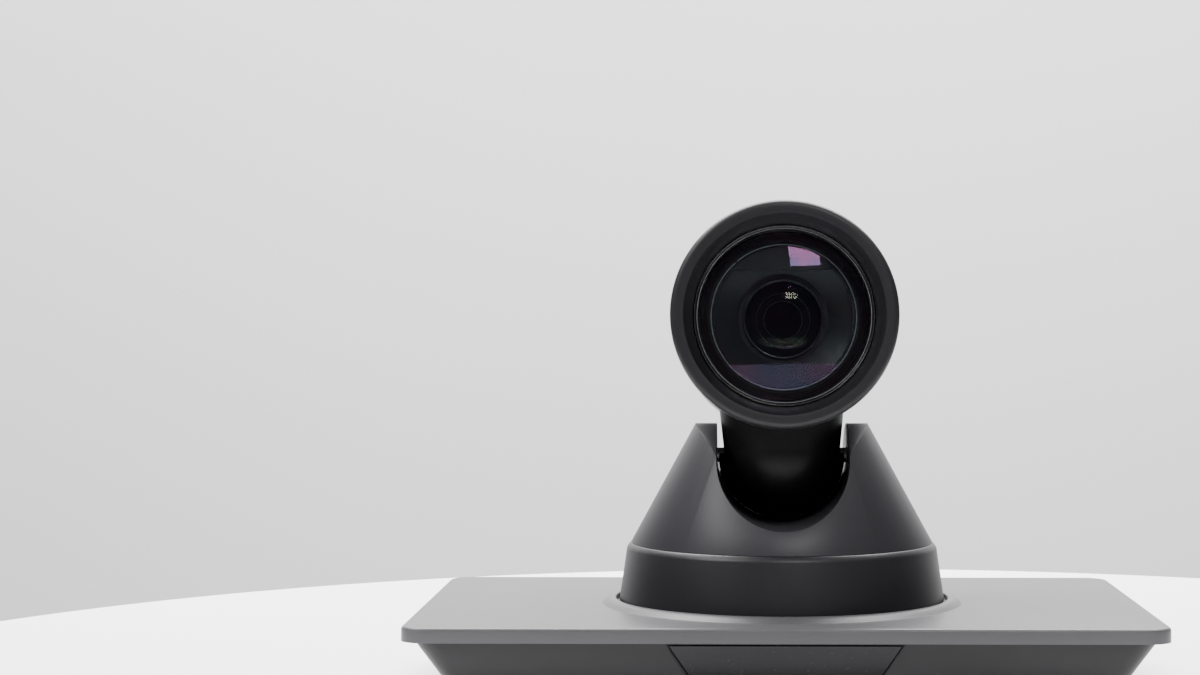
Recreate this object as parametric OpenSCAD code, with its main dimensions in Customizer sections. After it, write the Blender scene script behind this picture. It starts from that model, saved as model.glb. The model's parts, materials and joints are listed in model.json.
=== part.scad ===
// Pan-tilt-zoom conference camera: a wide base, a cone-shaped fork that turns on it,
// and a round camera head that tilts in the fork.
// The origin is on the table under the middle of the base. +Z is up and the lens looks along -Y.

/* [Base] */
// Width of the base cover
cover_w = 240; // [230:1:300]
// Depth of the base cover
cover_d = 144; // [140:1:180]
// Height of the cover's top face above the table
cover_top = 30; // [30:0.5:40]
// Height of the cover's rim
cover_rim = 4.7; // [3.5:0.1:6]
// Thickness of the cover's top wall
cover_wall = 2.5; // [2:0.1:3]
// Corner radius of the cover, seen from above
cover_corner = 8; // [4:0.5:12]
// How far the rim stands out past the shell on each side
rim_overhang = 4; // [2:0.5:8]
// How far each side of the shell leans in for every millimetre down
side_lean = 0.7; // [0.3:0.05:0.8]
// How far the front and back of the shell lean in for every millimetre down
front_lean = 0.25; // [0.1:0.05:0.4]
// Wall of the shell, measured level
shell_wall = 2.5; // [2:0.1:3]
// Height of the rubber feet
foot_h = 2; // [1.5:0.1:3]
// Radius of the rubber feet
foot_r = 8; // [5:0.5:10]
// Thickness of the steel bottom plate
bottom_t = 1.5; // [1:0.1:2]
// Half width of the front window at its top edge
window_half_w = 36.5; // [30:0.5:44]
// Thickness of the front window
window_t = 2; // [1.5:0.1:2.5]

/* [Collar] */
// Inner radius of the raised collar around the fork
collar_inner_r = 55.9; // [54:0.1:60]
// Width of the collar
collar_w = 4.7; // [3:0.1:8]
// Height of the collar
collar_h = 1.8; // [1:0.1:3]

/* [Cone fork] */
// Gap between the collar and the skirt
skirt_gap = 1.1; // [0.8:0.1:2]
// Height of the skirt's top edge above the cover
skirt_h = 18.8; // [16:0.1:24]
// How far the skirt leans in over its height
skirt_draft = 2.6; // [0:0.1:4]
// Width of the ledge between skirt and cone
ledge_w = 1.3; // [0.5:0.1:3]
// Radius lost by the cone for every millimetre up
cone_slope = 0.545; // [0.48:0.005:0.6]
// Height of the ear tops above the cover
ear_h = 60.1; // [58:0.1:64]
// Radius of the arc over each ear, seen from the side
crown_r = 41; // [38:0.5:44]
// Wall of the skirt and the cone
fork_wall = 2; // [1.6:0.1:2.5]
// Radius of the channel between the ears
channel_r = 21.8; // [20:0.1:23]
// Wall of the channel
channel_wall = 1.8; // [1.2:0.1:2.2]
// Height of the tilt axis above the cover
tilt_h = 49.4; // [48:0.1:51]

/* [Head] */
// Radius of the barrel
barrel_r = 35.3; // [32:0.1:36]
// Gap between the underside of the barrel and the tilt axis
barrel_clear = 8.5; // [8:0.1:14]
// Wall of the barrel
barrel_wall = 2; // [1.6:0.1:3]
// How far the front bezel stands out past the barrel's side
bezel_step = 1; // [0.4:0.1:1.5]
// Distance from the tilt axis to the front face
front_reach = 60; // [56:0.5:70]
// Distance from the tilt axis to the back of the barrel
rear_reach = 52; // [50:0.5:60]
// Length of the front bezel
bezel_l = 12; // [10:0.5:14]
// Depth of the recess in front of the lens
recess_d = 8; // [6:0.5:9]
// Gap between the ball under the head and the channel
ball_gap = 0.5; // [0.35:0.05:1]
// Wall of the ball and neck
neck_wall = 2; // [1.5:0.1:2.5]
// Upward tilt of the head at rest, in degrees
rest_tilt = 4; // [0:0.5:6]

/* [Lens] */
// Radius of the lens block's tube
lens_tube_r = 27; // [26:0.5:28]
// Radius of the clear front glass inside its ring
glass_r = 27.4; // [26.5:0.1:27.5]
// Radius of the second glass
inner_glass_r = 12.4; // [10:0.1:13]
// Radius of the opening in the picture mask behind the front glass
mask_r = 22.2; // [18:0.1:23]
// Radius of the iris behind the second glass
iris_r = 6.1; // [4:0.1:9]
// Half height of the picture mask
mask_half_h = 15.4; // [12:0.1:18]
// Radius of the guide rods
rod_r = 1.25; // [1:0.05:1.5]
// Forward travel of the zoom carriage
zoom_forward = 4; // [2:0.5:4]
// Backward travel of the zoom carriage
zoom_back = 10; // [6:0.5:10]
// Travel of the focus carriage each way
focus_travel = 2.5; // [1:0.25:2.5]

/* [Drives] */
// Gear module
gear_module = 0.8; // [0.75:0.05:0.8]
// Teeth on the pan gear
pan_teeth = 65; // [60:1:68]
// Teeth on the tilt gear's full circle
tilt_teeth = 72; // [70:1:73]
// Teeth on each motor pinion
pinion_teeth = 14; // [13:1:15]
// Play between meshing teeth, along the pitch circle
backlash = 0.22; // [0.15:0.01:0.3]
// Tilt range above and below level, in degrees
tilt_range = 30; // [20:1:30]
// Radius of the hollow pan spindle
spindle_r = 10; // [9:0.5:11]
// Bore of the spindle, for the wiring
spindle_bore_r = 6.5; // [5:0.5:7]
// Radius of the tilt axle
axle_r = 2.5; // [2:0.1:2.5]
// Radial clearance of a turning shaft in its bearing
running_fit = 0.04; // [0.02:0.01:0.08]
// Radius of the pan motor
pan_motor_r = 12; // [10:0.5:12]
// Radius of the tilt motor
tilt_motor_r = 10; // [8:0.5:10]

/* [Mounts] */
// Radius of the quarter-inch tripod thread
tripod_r = 3.175; // [3.175]
// Depth of the tripod thread
tripod_depth = 7; // [6:0.5:7]
// Spacing of the bracket holes from side to side
bracket_x = 60; // [50:5:70]
// Spacing of the bracket holes from front to back
bracket_y = 40; // [36:2:50]
// Radius of the bracket holes
bracket_hole_r = 1.6; // [1.3:0.1:2.1]

/* [Hidden] */
$fn = 96;
eps = 0.01;          // overlap that joins shapes inside one piece
far = 400;           // longer than the whole object

// Base heights and sizes
rim_under = cover_top - cover_rim;
cover_under = cover_top - cover_wall;
bottom_top = foot_h + bottom_t;
shell_top_w = cover_w - 2 * rim_overhang;
shell_top_d = cover_d - 2 * rim_overhang + 2;
shell_foot_w = shell_top_w - 2 * side_lean * (rim_under - foot_h);
shell_foot_d = shell_top_d - 2 * front_lean * (rim_under - foot_h);
lean_angle = atan(front_lean);
fit_gap = 0.3;                                   // gap around pieces that drop into an opening
boss_r = 3.5;
boss_x = shell_foot_w / 2 - 11.5;
boss_y = shell_foot_d / 2 - 11;
screw_r = 1.25;
screw_head_r = 2.8;
screw_head_h = 1.1;
foot_x = boss_x - 18;
foot_y = boss_y - 6;
board_z = bottom_top + 3.5;
board_t = 1.6;
board_top = board_z + board_t;
board_half_w = boss_x - 8;
board_back = shell_foot_d / 2 - 6;
board_front = -shell_foot_d / 2 + 18;
standoff_r = 3;
standoff_x = board_half_w - 6;
standoff_y = [board_front + 8, board_back - 24];
chip_w = 20;                                     // main processor, under the heat sink
chip_h = 1.6;
chip_at = [58, -12];
panel_t = 1.2;
panel_y = shell_foot_d / 2 - shell_wall - 0.6;   // outer face of the rear panel
panel_half_w = board_half_w;
port_y = panel_y + 1;                            // mouth of every port
port_gap = 0.2;
window_top = -1.2;
window_foot = -(rim_under - foot_h) / cos(lean_angle) + 3.5;
window_lean = 0.6;
window_recess = 0.5;

// Ports: middle of each along X, and the size of its face
power_x = 62;
serial_x = [26, 42];
audio_x = 10;
usb_x = -8;
hdmi_x = -32;
lan_x = -58;
power_size = [9, 11, 14];
din_size = [13, 12.6, 12.8];
audio_size = [6.4, 12, 5.6];
usb_size = [14.4, 14, 7];
hdmi_size = [15, 11.6, 6];
lan_size = [16, 18, 13.4];
lan_hollow = [11.8, 10, 8.4];

// Fork heights and radii
skirt_r = collar_inner_r - skirt_gap;            // at the skirt's foot
skirt_foot = cover_top + 0.6;
skirt_top = cover_top + skirt_h;
skirt_top_r = skirt_r - skirt_draft;
ledge_z = skirt_top + ledge_w;
cone_r = skirt_top_r - ledge_w;
ear_top = cover_top + ear_h;
crown_z = ear_top - crown_r;
crown_foot = cover_top + tilt_h - 5;              // below this the cone is whole all round
tilt_z = cover_top + tilt_h;
lip_y = 10;
lip_t = 3;
lip_drop = 6;
turntable_z = cover_top + 1;
turntable_t = 2.6;
turntable_top = turntable_z + turntable_t;
turntable_r = skirt_r - fork_wall - 1.3;
skirt_flange = 1.8;
fork_screw_ring = turntable_r - 6;
fork_screw_angles = [45, 135, 225, 315];

// Pan drive
pan_pitch_r = gear_module * pan_teeth / 2;
pinion_pitch_r = gear_module * pinion_teeth / 2;
pan_motor_x = -(pan_pitch_r + pinion_pitch_r);
bearing_w = 7;
inner_race_r = spindle_r + 2.2;
ball_ring_r = spindle_r + 3;
ball_r = 1.8;
ball_play = 0.1;
ball_count = 12;
outer_race_r = spindle_r + 6;
spindle_foot = board_top + 2.6;
nut_h = 2.5;
bearing_z = spindle_foot + nut_h;
frame_z = bearing_z + bearing_w + 0.1;
frame_t = 1.6;
gear_z = frame_z + frame_t + 0.6;
gear_t = cover_under - 0.9 - gear_z;
seat_r = outer_race_r + 2.2;
frame_post_x = 35;
frame_post_y = 27;
post_r = 3;
frame_w = 2 * frame_post_x + 2 * post_r + 6;
frame_d = 2 * frame_post_y + 2 * post_r + 4;
shaft_r = 1.5;

// Tilt drive
tilt_pitch_r = gear_module * tilt_teeth / 2;
tilt_motor_z = tilt_z - tilt_pitch_r - pinion_pitch_r;
skin_x = channel_r + channel_wall;
tilt_gear_x = skin_x + 0.8;
tilt_gear_t = 2;
bearing_x = tilt_gear_x + tilt_gear_t + 0.6;
tilt_bearing_t = 2.5;
tilt_bearing_r = axle_r + 2;
frame_eye_r = tilt_bearing_r + 1;
axle_end = bearing_x + tilt_bearing_t + 0.3;
bracket_t = 1.5;
motor_face_x = tilt_gear_x - 0.9 - bracket_t - 0.8;
tilt_motor_l = 19;

// Head, in its own frame: the tilt axis is the origin
barrel_rise = barrel_r + barrel_clear;
ball_r_head = channel_r - ball_gap;
neck_foot = 0.6;
neck_half_w = ball_r_head - 2.1;
neck_flare = 0.12;
neck_r = ball_r_head - 0.3;
bezel_r = barrel_r + bezel_step;
bezel_round = 2;
mouth_r = bezel_r - 4.5;
ring_bore_r = mouth_r - 2.6;
bezel_back = front_reach - bezel_l;
cap_depth = 12;
cap_front = -(rear_reach - cap_depth);
barrel_in_r = barrel_r - barrel_wall;
sleeve_gap = 0.2;

// Lens block, along the barrel's axis: 0 is over the tilt axis, and more is further forward
ring_face = front_reach - recess_d;
ring_r = ring_bore_r - 0.3;
tube_in_r = lens_tube_r - 2.5;
tube_back = -12;
glass_edge_r = glass_r + 0.2;
glass_back = ring_face - 8;
glass_edge_t = 2;                                // height of the glass's rim, held by the ring
mask_z = glass_back - 3;
cell_front = mask_z - 0.1;
cell_back = cell_front - 12.9;
iris_t = 0.8;
rod_x = 18;
rail_z = 17.5;
motor_small_r = 4;
motor_small_l = 7;
lead_screw_r = 1;
zoom_z = cell_back - 2 - zoom_forward - 8;
zoom_len = 8;
zoom_r = 13;
focus_len = 6;
focus_z = tube_back + 2 + 1.5 + focus_travel;
focus_r = 10;
arm_t = 2.4;
sensor_z = tube_back - 4;
spacer_xy = 14;
head_board_z = sensor_z - 14;

// Shared shapes

// Rectangle with round corners, centred
module round_rect(w, d, r) {
  square([w - 2 * r, d], center = true);
  square([w, d - 2 * r], center = true);
  for (sx = [-1, 1], sy = [-1, 1]) translate([sx * (w / 2 - r), sy * (d / 2 - r)]) circle(r);
}

// Block that narrows downwards: w and d are its size at the height z_ref
module leaning_block(w, d, z_ref, z0, z1, r) {
  half_w0 = w / 2 + side_lean * (z0 - z_ref);
  half_w1 = w / 2 + side_lean * (z1 - z_ref);
  half_d0 = d / 2 + front_lean * (z0 - z_ref);
  half_d1 = d / 2 + front_lean * (z1 - z_ref);
  intersection() {
    rotate([90, 0, 0]) linear_extrude(far, center = true)
      polygon([[-half_w0, z0], [half_w0, z0], [half_w1, z1], [-half_w1, z1]]);
    rotate([90, 0, 90]) linear_extrude(far, center = true)
      polygon([[-half_d0, z0], [half_d0, z0], [half_d1, z1], [-half_d1, z1]]);
    translate([0, 0, z0]) linear_extrude(z1 - z0) round_rect(2 * half_w1, 2 * half_d1, r);
  }
}

// Tube standing on z = 0
module tube(r_out, r_in, h) {
  difference() {
    cylinder(r = r_out, h = h);
    translate([0, 0, -1]) cylinder(r = r_in, h = h + 2);
  }
}

// Frame on the leaning front wall: x to the side, y up along the wall, z outwards
module on_front_wall() {
  translate([0, -shell_top_d / 2, rim_under]) rotate([90 + lean_angle, 0, 0]) children();
}

// Copies at the four corners of a rectangle
module at_corners(x, y) {
  for (sx = [-1, 1], sy = [-1, 1]) translate([sx * x, sy * y, 0]) children();
}

// Turns an upright shape to lie along +X
module along_x() {
  rotate([0, 90, 0]) children();
}

// The head's frame: the tilt axis at its rest tilt
module in_head() {
  translate([0, 0, tilt_z]) rotate([-rest_tilt, 0, 0]) children();
}

// The barrel's frame: x to the side, y up, z forward along the barrel
module on_barrel() {
  in_head() translate([0, 0, barrel_rise]) rotate([90, 0, 0]) children();
}

// Involute angle of a flank, in degrees
function inv(a) = tan(a) * 180 / PI - a;

// Half the angle that a tooth takes at the radius r
function tooth_half(r, pitch_r, teeth, play) =
  90 / teeth - (play / 4 / pitch_r) * 180 / PI + inv(20)
  - inv(acos(min(1, pitch_r * cos(20) / r)));

// Outline of the teeth numbered from first to last, as points in order
function teeth_points(teeth, first, last) =
  let (pitch_r = gear_module * teeth / 2)
  let (root = pitch_r - 1.2 * gear_module)
  let (tip = pitch_r + 0.85 * gear_module)
  let (steps = 3)
  [for (i = [first:last]) for (k = [-steps:steps + 1])
    let (rising = k <= 0)
    let (share = rising ? (k + steps) / steps : (steps + 1 - k) / steps)
    let (r = root + (tip - root) * share)
    let (base_r = pitch_r * cos(20))
    let (half = tooth_half(max(r, base_r), pitch_r, teeth, backlash))
    let (a = 360 * i / teeth + (rising ? -half : half))
    [r * cos(a), r * sin(a)]];

// Whole gear lying flat, with a tooth centred on +X turned by phase
module gear_flat(teeth, phase) {
  rotate(phase) polygon(teeth_points(teeth, 0, teeth - 1));
}

// Base

module base_cover() {
  color([0.42, 0.42, 0.43]) difference() {
    union() {
      difference() {
        translate([0, 0, rim_under]) linear_extrude(cover_rim)
          round_rect(cover_w, cover_d, cover_corner);
        translate([0, 0, rim_under - 1]) linear_extrude(cover_rim - cover_wall + 1)
          round_rect(shell_top_w - 2 * shell_wall, shell_top_d - 2 * shell_wall, cover_corner);
      }
      rotate_extrude() polygon([
        [collar_inner_r, cover_top - eps], [collar_inner_r, cover_top + collar_h - 0.4],
        [collar_inner_r + 0.4, cover_top + collar_h], [collar_inner_r + 1.6, cover_top + collar_h],
        [collar_inner_r + collar_w - 0.6, cover_top + 0.5], [collar_inner_r + collar_w, cover_top - eps]]);
      translate([0, 0, bottom_top]) at_corners(boss_x, boss_y)
        cylinder(r = boss_r, h = cover_under - bottom_top + eps);
    }
    cylinder(r = spindle_r + 2, h = far);
    translate([0, 0, bottom_top - 1]) at_corners(boss_x, boss_y) cylinder(r = screw_r, h = 11);
  }
}

module base_shell() {
  color([0.24, 0.24, 0.25]) difference() {
    leaning_block(shell_top_w, shell_top_d, rim_under, foot_h, rim_under, cover_corner - 2);
    leaning_block(shell_top_w - 2 * shell_wall, shell_top_d - 2 * shell_wall, rim_under,
      foot_h - 1, rim_under + 1, cover_corner - 4);
    on_front_wall() translate([0, 0, -far / 8]) linear_extrude(far / 4) window_outline(fit_gap / 2);
    translate([-panel_half_w + 3, 0, bottom_top + 2])
      cube([2 * panel_half_w - 6, far, rim_under - bottom_top - 5]);
  }
}

// Outline of the front window, grown by g
module window_outline(g) {
  half_foot = window_half_w + window_lean * window_foot;
  polygon([
    [-window_half_w - g, window_top + g], [window_half_w + g, window_top + g],
    [half_foot + g, window_foot - g], [-half_foot - g, window_foot - g]]);
}

module front_window() {
  color([0.12, 0.12, 0.13]) on_front_wall()
    translate([0, 0, -window_recess - window_t]) linear_extrude(window_t) window_outline(0);
}

module indicator_board() {
  board_y = -shell_foot_d / 2 + 6;
  color([0.1, 0.3, 0.2]) union() {
    translate([-20, board_y, bottom_top + 1]) cube([40, 1.6, rim_under - bottom_top - 5]);
    translate([-12, board_y, bottom_top]) cube([24, 8, 1.5]);
    translate([-14, board_y - 2.4, board_top + 3]) cube([6, 2.5, 5.6]);
    for (i = [0:2]) translate([2 + 5 * i, board_y - 1, board_top + 5]) cube([2, 1.1, 1.2]);
  }
}

module rear_panel() {
  color([0.1, 0.1, 0.11]) difference() {
    translate([-panel_half_w, panel_y - panel_t, bottom_top + 0.5])
      cube([2 * panel_half_w, panel_t, rim_under - bottom_top - 2]);
    port_hole(power_x, power_size);
    for (x = serial_x) port_hole(x, din_size);
    port_hole(audio_x, audio_size);
    port_hole(usb_x, usb_size);
    port_hole(hdmi_x, hdmi_size);
    port_hole(lan_x, lan_size);
  }
}

// Opening in the rear panel around a port
module port_hole(x, size) {
  translate([x - size[0] / 2 - port_gap, 0, board_top - port_gap])
    cube([size[0] + 2 * port_gap, far, size[2] + 2 * port_gap]);
}

// Block of a port, standing on the main board with its mouth at port_y
module port_block(x, size) {
  translate([x - size[0] / 2, port_y - size[1], board_top]) cube(size);
}

module bottom_plate() {
  slot_l = 26;
  color([0.3, 0.3, 0.31]) difference() {
    union() {
      translate([0, 0, foot_h]) linear_extrude(bottom_t)
        round_rect(shell_foot_w - 2 * (shell_wall + fit_gap), shell_foot_d - 2 * (shell_wall + fit_gap), 3);
      for (sx = [-1, 1], y = standoff_y) translate([sx * standoff_x, y, bottom_top - eps])
        cylinder(r = standoff_r, h = board_z - bottom_top + eps);
    }
    translate([0, 0, foot_h - 1]) cylinder(r = 6, h = bottom_t + 2);
    translate([0, 0, foot_h - 1]) at_corners(boss_x, boss_y) cylinder(r = screw_r, h = bottom_t + 2);
    translate([0, 0, foot_h - 1]) at_corners(bracket_x / 2, bracket_y / 2)
      cylinder(r = bracket_hole_r, h = bottom_t + 2);
    for (sx = [-1, 1], i = [-4:4])
      translate([sx * (bracket_x / 2 + 16) - slot_l / 2, 5 * i - 1, foot_h - 1])
        cube([slot_l, 2, bottom_t + 2]);
  }
}

module tripod_insert() {
  color([0.75, 0.6, 0.3]) difference() {
    union() {
      translate([0, 0, foot_h]) cylinder(r = 6, h = bottom_t);
      translate([0, 0, bottom_top]) cylinder(r = 8, h = 1.4);
      translate([0, 0, foot_h]) cylinder(r = 5, h = tripod_depth + 1);
    }
    translate([0, 0, foot_h - 1]) cylinder(r = tripod_r, h = tripod_depth + 1);
  }
}

module rubber_feet() {
  color([0.06, 0.06, 0.06]) at_corners(foot_x, foot_y) union() {
    cylinder(r1 = foot_r - 0.6, r2 = foot_r, h = 0.6);
    translate([0, 0, 0.6]) cylinder(r = foot_r, h = foot_h - 0.6);
  }
}

// Pan-head screw pointing up, its head's underside at z = 0
module screw_up(l, r) {
  difference() {
    union() {
      translate([0, 0, -screw_head_h]) cylinder(r = screw_head_r, h = screw_head_h);
      cylinder(r = r, h = l);
    }
    translate([-1.6, -0.3, -screw_head_h - 1]) cube([3.2, 0.6, 1.6]);
    translate([-0.3, -1.6, -screw_head_h - 1]) cube([0.6, 3.2, 1.6]);
  }
}

module base_screws() {
  color([0.6, 0.6, 0.62]) translate([0, 0, foot_h]) at_corners(boss_x, boss_y) screw_up(9, screw_r);
}

module main_board() {
  color([0.08, 0.28, 0.18]) difference() {
    union() {
      translate([-board_half_w, board_front, board_z])
        cube([2 * board_half_w, board_back - board_front, board_t]);
      translate([chip_at[0] - chip_w / 2, chip_at[1] - chip_w / 2, board_top - eps])
        cube([chip_w, chip_w, chip_h]);
      translate([-70, -30, board_top - eps]) cube([14, 12, 2]);
      translate([-66, 8, board_top - eps]) cube([10, 10, 3]);
      for (i = [0:2]) translate([52 + 9 * i, 14, board_top - eps]) cylinder(r = 3.2, h = 8);
    }
    translate([0, 0, board_z - 1]) cylinder(r = 9, h = board_t + 2);
    translate([0, 0, board_z - 1]) at_corners(frame_post_x, frame_post_y)
      cylinder(r = post_r + 0.5, h = far);
  }
}

module heat_sink() {
  sink_z = board_top - eps + chip_h;
  sink_w = chip_w + 8;
  sink_t = 2;
  fin_t = 1.3;
  fin_h = 6;
  fins = 7;
  fin_pitch = (sink_w - fin_t) / (fins - 1);
  color([0.7, 0.7, 0.72]) translate([chip_at[0] - sink_w / 2, chip_at[1] - sink_w / 2, sink_z]) union() {
    cube([sink_w, sink_w, sink_t]);
    for (i = [0:fins - 1]) translate([fin_pitch * i, 0, sink_t - eps]) cube([fin_t, sink_w, fin_h]);
  }
}

module power_jack() {
  color([0.05, 0.05, 0.05]) union() {
    difference() {
      port_block(power_x, power_size);
      translate([power_x, port_y + 1, board_top + 7]) rotate([90, 0, 0]) cylinder(r = 3, h = 10);
    }
    translate([power_x, port_y - 0.5, board_top + 7]) rotate([90, 0, 0]) cylinder(r = 1, h = 9);
  }
}

module serial_ports() {
  color([0.07, 0.07, 0.07]) for (x = serial_x) union() {
    difference() {
      port_block(x, din_size);
      translate([x, port_y + 1, board_top + 6.4]) rotate([90, 0, 0]) cylinder(r = 4.8, h = 8);
    }
    difference() {
      translate([x, port_y - 0.3, board_top + 6.4]) rotate([90, 0, 0]) cylinder(r = 3.7, h = 7);
      for (a = [20:40:340]) translate([x + 2.4 * sin(a), port_y + 1, board_top + 6.4 + 2.4 * cos(a)])
        rotate([90, 0, 0]) cylinder(r = 0.4, h = 4);
    }
  }
}

module audio_jack() {
  color([0.05, 0.05, 0.05]) difference() {
    port_block(audio_x, audio_size);
    translate([audio_x, port_y + 1, board_top + 2.8]) rotate([90, 0, 0]) cylinder(r = 1.8, h = 11);
  }
}

module usb_port() {
  color([0.75, 0.75, 0.77]) union() {
    difference() {
      port_block(usb_x, usb_size);
      translate([usb_x - 6.3, port_y - 9, board_top + 0.9]) cube([12.6, 10, 5.2]);
    }
    translate([usb_x - 5.6, port_y - 9 - eps, board_top + 3.4]) cube([11.2, 8, 1.8]);
  }
}

module hdmi_port() {
  color([0.75, 0.75, 0.77]) union() {
    difference() {
      port_block(hdmi_x, hdmi_size);
      translate([hdmi_x - 7, port_y - 8, board_top + 0.8]) cube([14, 9, 4.5]);
    }
    translate([hdmi_x - 5.8, port_y - 8 - eps, board_top + 2.5]) cube([11.6, 7, 1.1]);
  }
}

module lan_port() {
  color([0.75, 0.75, 0.77]) difference() {
    port_block(lan_x, lan_size);
    translate([lan_x - lan_hollow[0] / 2, port_y - lan_hollow[1], board_top + 2.6])
      cube([lan_hollow[0], lan_hollow[1] + 1, lan_hollow[2]]);
  }
}

// Pan drive

module pan_frame() {
  color([0.62, 0.62, 0.64]) difference() {
    union() {
      translate([0, 0, frame_z]) linear_extrude(frame_t) round_rect(frame_w, frame_d, 5);
      translate([0, 0, bearing_z - 0.8]) cylinder(r = seat_r, h = frame_z - bearing_z + 0.8 + eps);
      translate([0, 0, bottom_top]) at_corners(frame_post_x, frame_post_y)
        cylinder(r = post_r, h = frame_z - bottom_top + eps);
    }
    translate([0, 0, bearing_z - 2]) cylinder(r = outer_race_r - 1.2, h = 4);
    translate([0, 0, bearing_z]) cylinder(r = outer_race_r, h = bearing_w + 0.1);
    translate([0, 0, frame_z - 1]) cylinder(r = inner_race_r + 0.4, h = frame_t + 2);
    translate([pan_motor_x, 0, frame_z - 1]) cylinder(r = 4, h = frame_t + 2);
  }
}

module pan_motor() {
  motor_h = frame_z - board_top - 1;
  color([0.55, 0.55, 0.58]) translate([pan_motor_x, 0, frame_z - motor_h]) union() {
    cylinder(r = pan_motor_r, h = motor_h);
    cylinder(r = 3.8, h = motor_h + 1);
    cylinder(r = shaft_r, h = motor_h + gear_z - frame_z + gear_t);
  }
}

module pan_pinion() {
  color([0.85, 0.83, 0.78]) translate([pan_motor_x, 0, gear_z]) linear_extrude(gear_t)
    difference() {
      gear_flat(pinion_teeth, 180 / pinion_teeth);
      circle(shaft_r + running_fit);
    }
}

module bearing_groove() {
  rotate_extrude() translate([ball_ring_r, bearing_w / 2]) circle(ball_r + ball_play, $fn = 48);
}

module pan_bearing_outer() {
  color([0.7, 0.7, 0.72]) translate([0, 0, bearing_z]) difference() {
    tube(outer_race_r, ball_ring_r + 0.8, bearing_w);
    bearing_groove();
  }
}

module pan_bearing_inner() {
  color([0.7, 0.7, 0.72]) translate([0, 0, bearing_z]) difference() {
    tube(inner_race_r, spindle_r, bearing_w);
    bearing_groove();
  }
}

module pan_bearing_balls() {
  color([0.85, 0.85, 0.87]) translate([0, 0, bearing_z + bearing_w / 2])
    for (i = [0:ball_count - 1]) rotate(360 * i / ball_count) translate([ball_ring_r, 0, 0])
      sphere(ball_r, $fn = 32);
}

module turntable() {
  color([0.5, 0.5, 0.52]) difference() {
    union() {
      translate([0, 0, turntable_z]) cylinder(r = turntable_r, h = turntable_t);
      translate([0, 0, spindle_foot]) cylinder(r = spindle_r, h = turntable_z - spindle_foot + eps);
    }
    translate([0, 0, spindle_foot - 1]) cylinder(r = spindle_bore_r, h = far);
    for (a = fork_screw_angles) rotate(a) translate([fork_screw_ring, 0, turntable_z - 1]) {
      cylinder(r = screw_r, h = turntable_t + 2);
      cylinder(r = screw_head_r + 0.2, h = 1 + screw_head_h);
    }
  }
}

module spindle_nut() {
  color([0.6, 0.55, 0.4]) translate([0, 0, spindle_foot]) difference() {
    cylinder(r = inner_race_r + 0.4, h = nut_h);
    translate([0, 0, -1]) cylinder(r = spindle_r, h = nut_h + 2);
    for (a = [0:90:270]) rotate(a) translate([inner_race_r - 0.6, -1, -1]) cube([3, 2, nut_h + 2]);
  }
}

module pan_gear() {
  hub_z = bearing_z + bearing_w;
  color([0.9, 0.88, 0.82]) difference() {
    union() {
      translate([0, 0, gear_z]) linear_extrude(gear_t) gear_flat(pan_teeth, 180);
      translate([0, 0, hub_z]) cylinder(r = inner_race_r, h = gear_z - hub_z + eps);
    }
    translate([0, 0, hub_z - 1]) cylinder(r = spindle_r, h = far);
    translate([0, 0, gear_z - 1]) for (a = [0:60:300]) rotate(a)
      translate([(spindle_r + pan_pitch_r) / 2 + 0.5, 0, 0]) cylinder(r = 4, h = far);
  }
}

// Fork

module fork_skirt() {
  flange_r = turntable_r - 3;
  color([0.2, 0.2, 0.21]) difference() {
    union() {
      rotate_extrude() polygon([
        [skirt_r, skirt_foot], [skirt_top_r, skirt_top], [cone_r + 0.1, ledge_z],
        [cone_r - 2 * fork_wall, ledge_z], [cone_r - 2 * fork_wall, ledge_z - 1.6],
        [skirt_top_r - fork_wall, ledge_z - 4], [skirt_r - fork_wall - 0.4, turntable_top + skirt_flange],
        [flange_r, turntable_top + skirt_flange], [flange_r, turntable_top],
        [skirt_r - fork_wall - 0.4, turntable_top], [skirt_r - fork_wall, skirt_foot]]);
      for (a = fork_screw_angles) rotate(a) translate([fork_screw_ring, 0, turntable_top])
        cylinder(r = 3.4, h = 8);
    }
    for (a = fork_screw_angles) rotate(a) translate([fork_screw_ring, 0, turntable_top - 1])
      cylinder(r = screw_r, h = 7.4);
  }
}

// The cone under the arc of the ears, shrunk by t and reaching from z0 up
module cone_body(t, z0) {
  z1 = ear_top + 1;
  intersection() {
    translate([0, 0, z0])
      cylinder(r1 = cone_r - t - cone_slope * (z0 - ledge_z), r2 = cone_r - t - cone_slope * (z1 - ledge_z),
        h = z1 - z0);
    union() {
      translate([-far / 2, 0, crown_z]) along_x() cylinder(r = crown_r - t, h = far, $fn = 180);
      translate([-far / 2, -far / 2, 0]) cube([far, far, crown_foot]);
    }
  }
}

// Channel of radius r from front to back, open upwards
module channel(r) {
  translate([0, far / 2, tilt_z]) rotate([90, 0, 0]) cylinder(r = r, h = far);
  translate([-r, -far / 2, tilt_z]) cube([2 * r, far, far]);
}

module cone_cover() {
  difference() {
    cone_body(0, ledge_z);
    channel(channel_r);
    difference() {
      cone_body(fork_wall, ledge_z - 1);
      channel(skin_x);
    }
    translate([-skin_x - 1, 0, tilt_z]) along_x() cylinder(r = axle_r + 0.8, h = 2 * skin_x + 2);
  }
}

module cone_front() {
  color([0.3, 0.3, 0.32]) intersection() {
    cone_cover();
    translate([-far / 2, -far, 0]) cube([far, far, far]);
  }
}

// Lip in the channel behind the ball, which stops dust and light. It ends below the neck's swing
module dust_lip() {
  difference() {
    intersection() {
      translate([0, lip_y, tilt_z]) rotate([-90, 0, 0]) cylinder(r = channel_r + channel_wall / 2, h = lip_t);
      translate([-far / 2, 0, 0]) cube([far, far, tilt_z - lip_drop]);
    }
    translate([0, 0, tilt_z]) sphere(channel_r, $fn = 128);
  }
}

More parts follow.
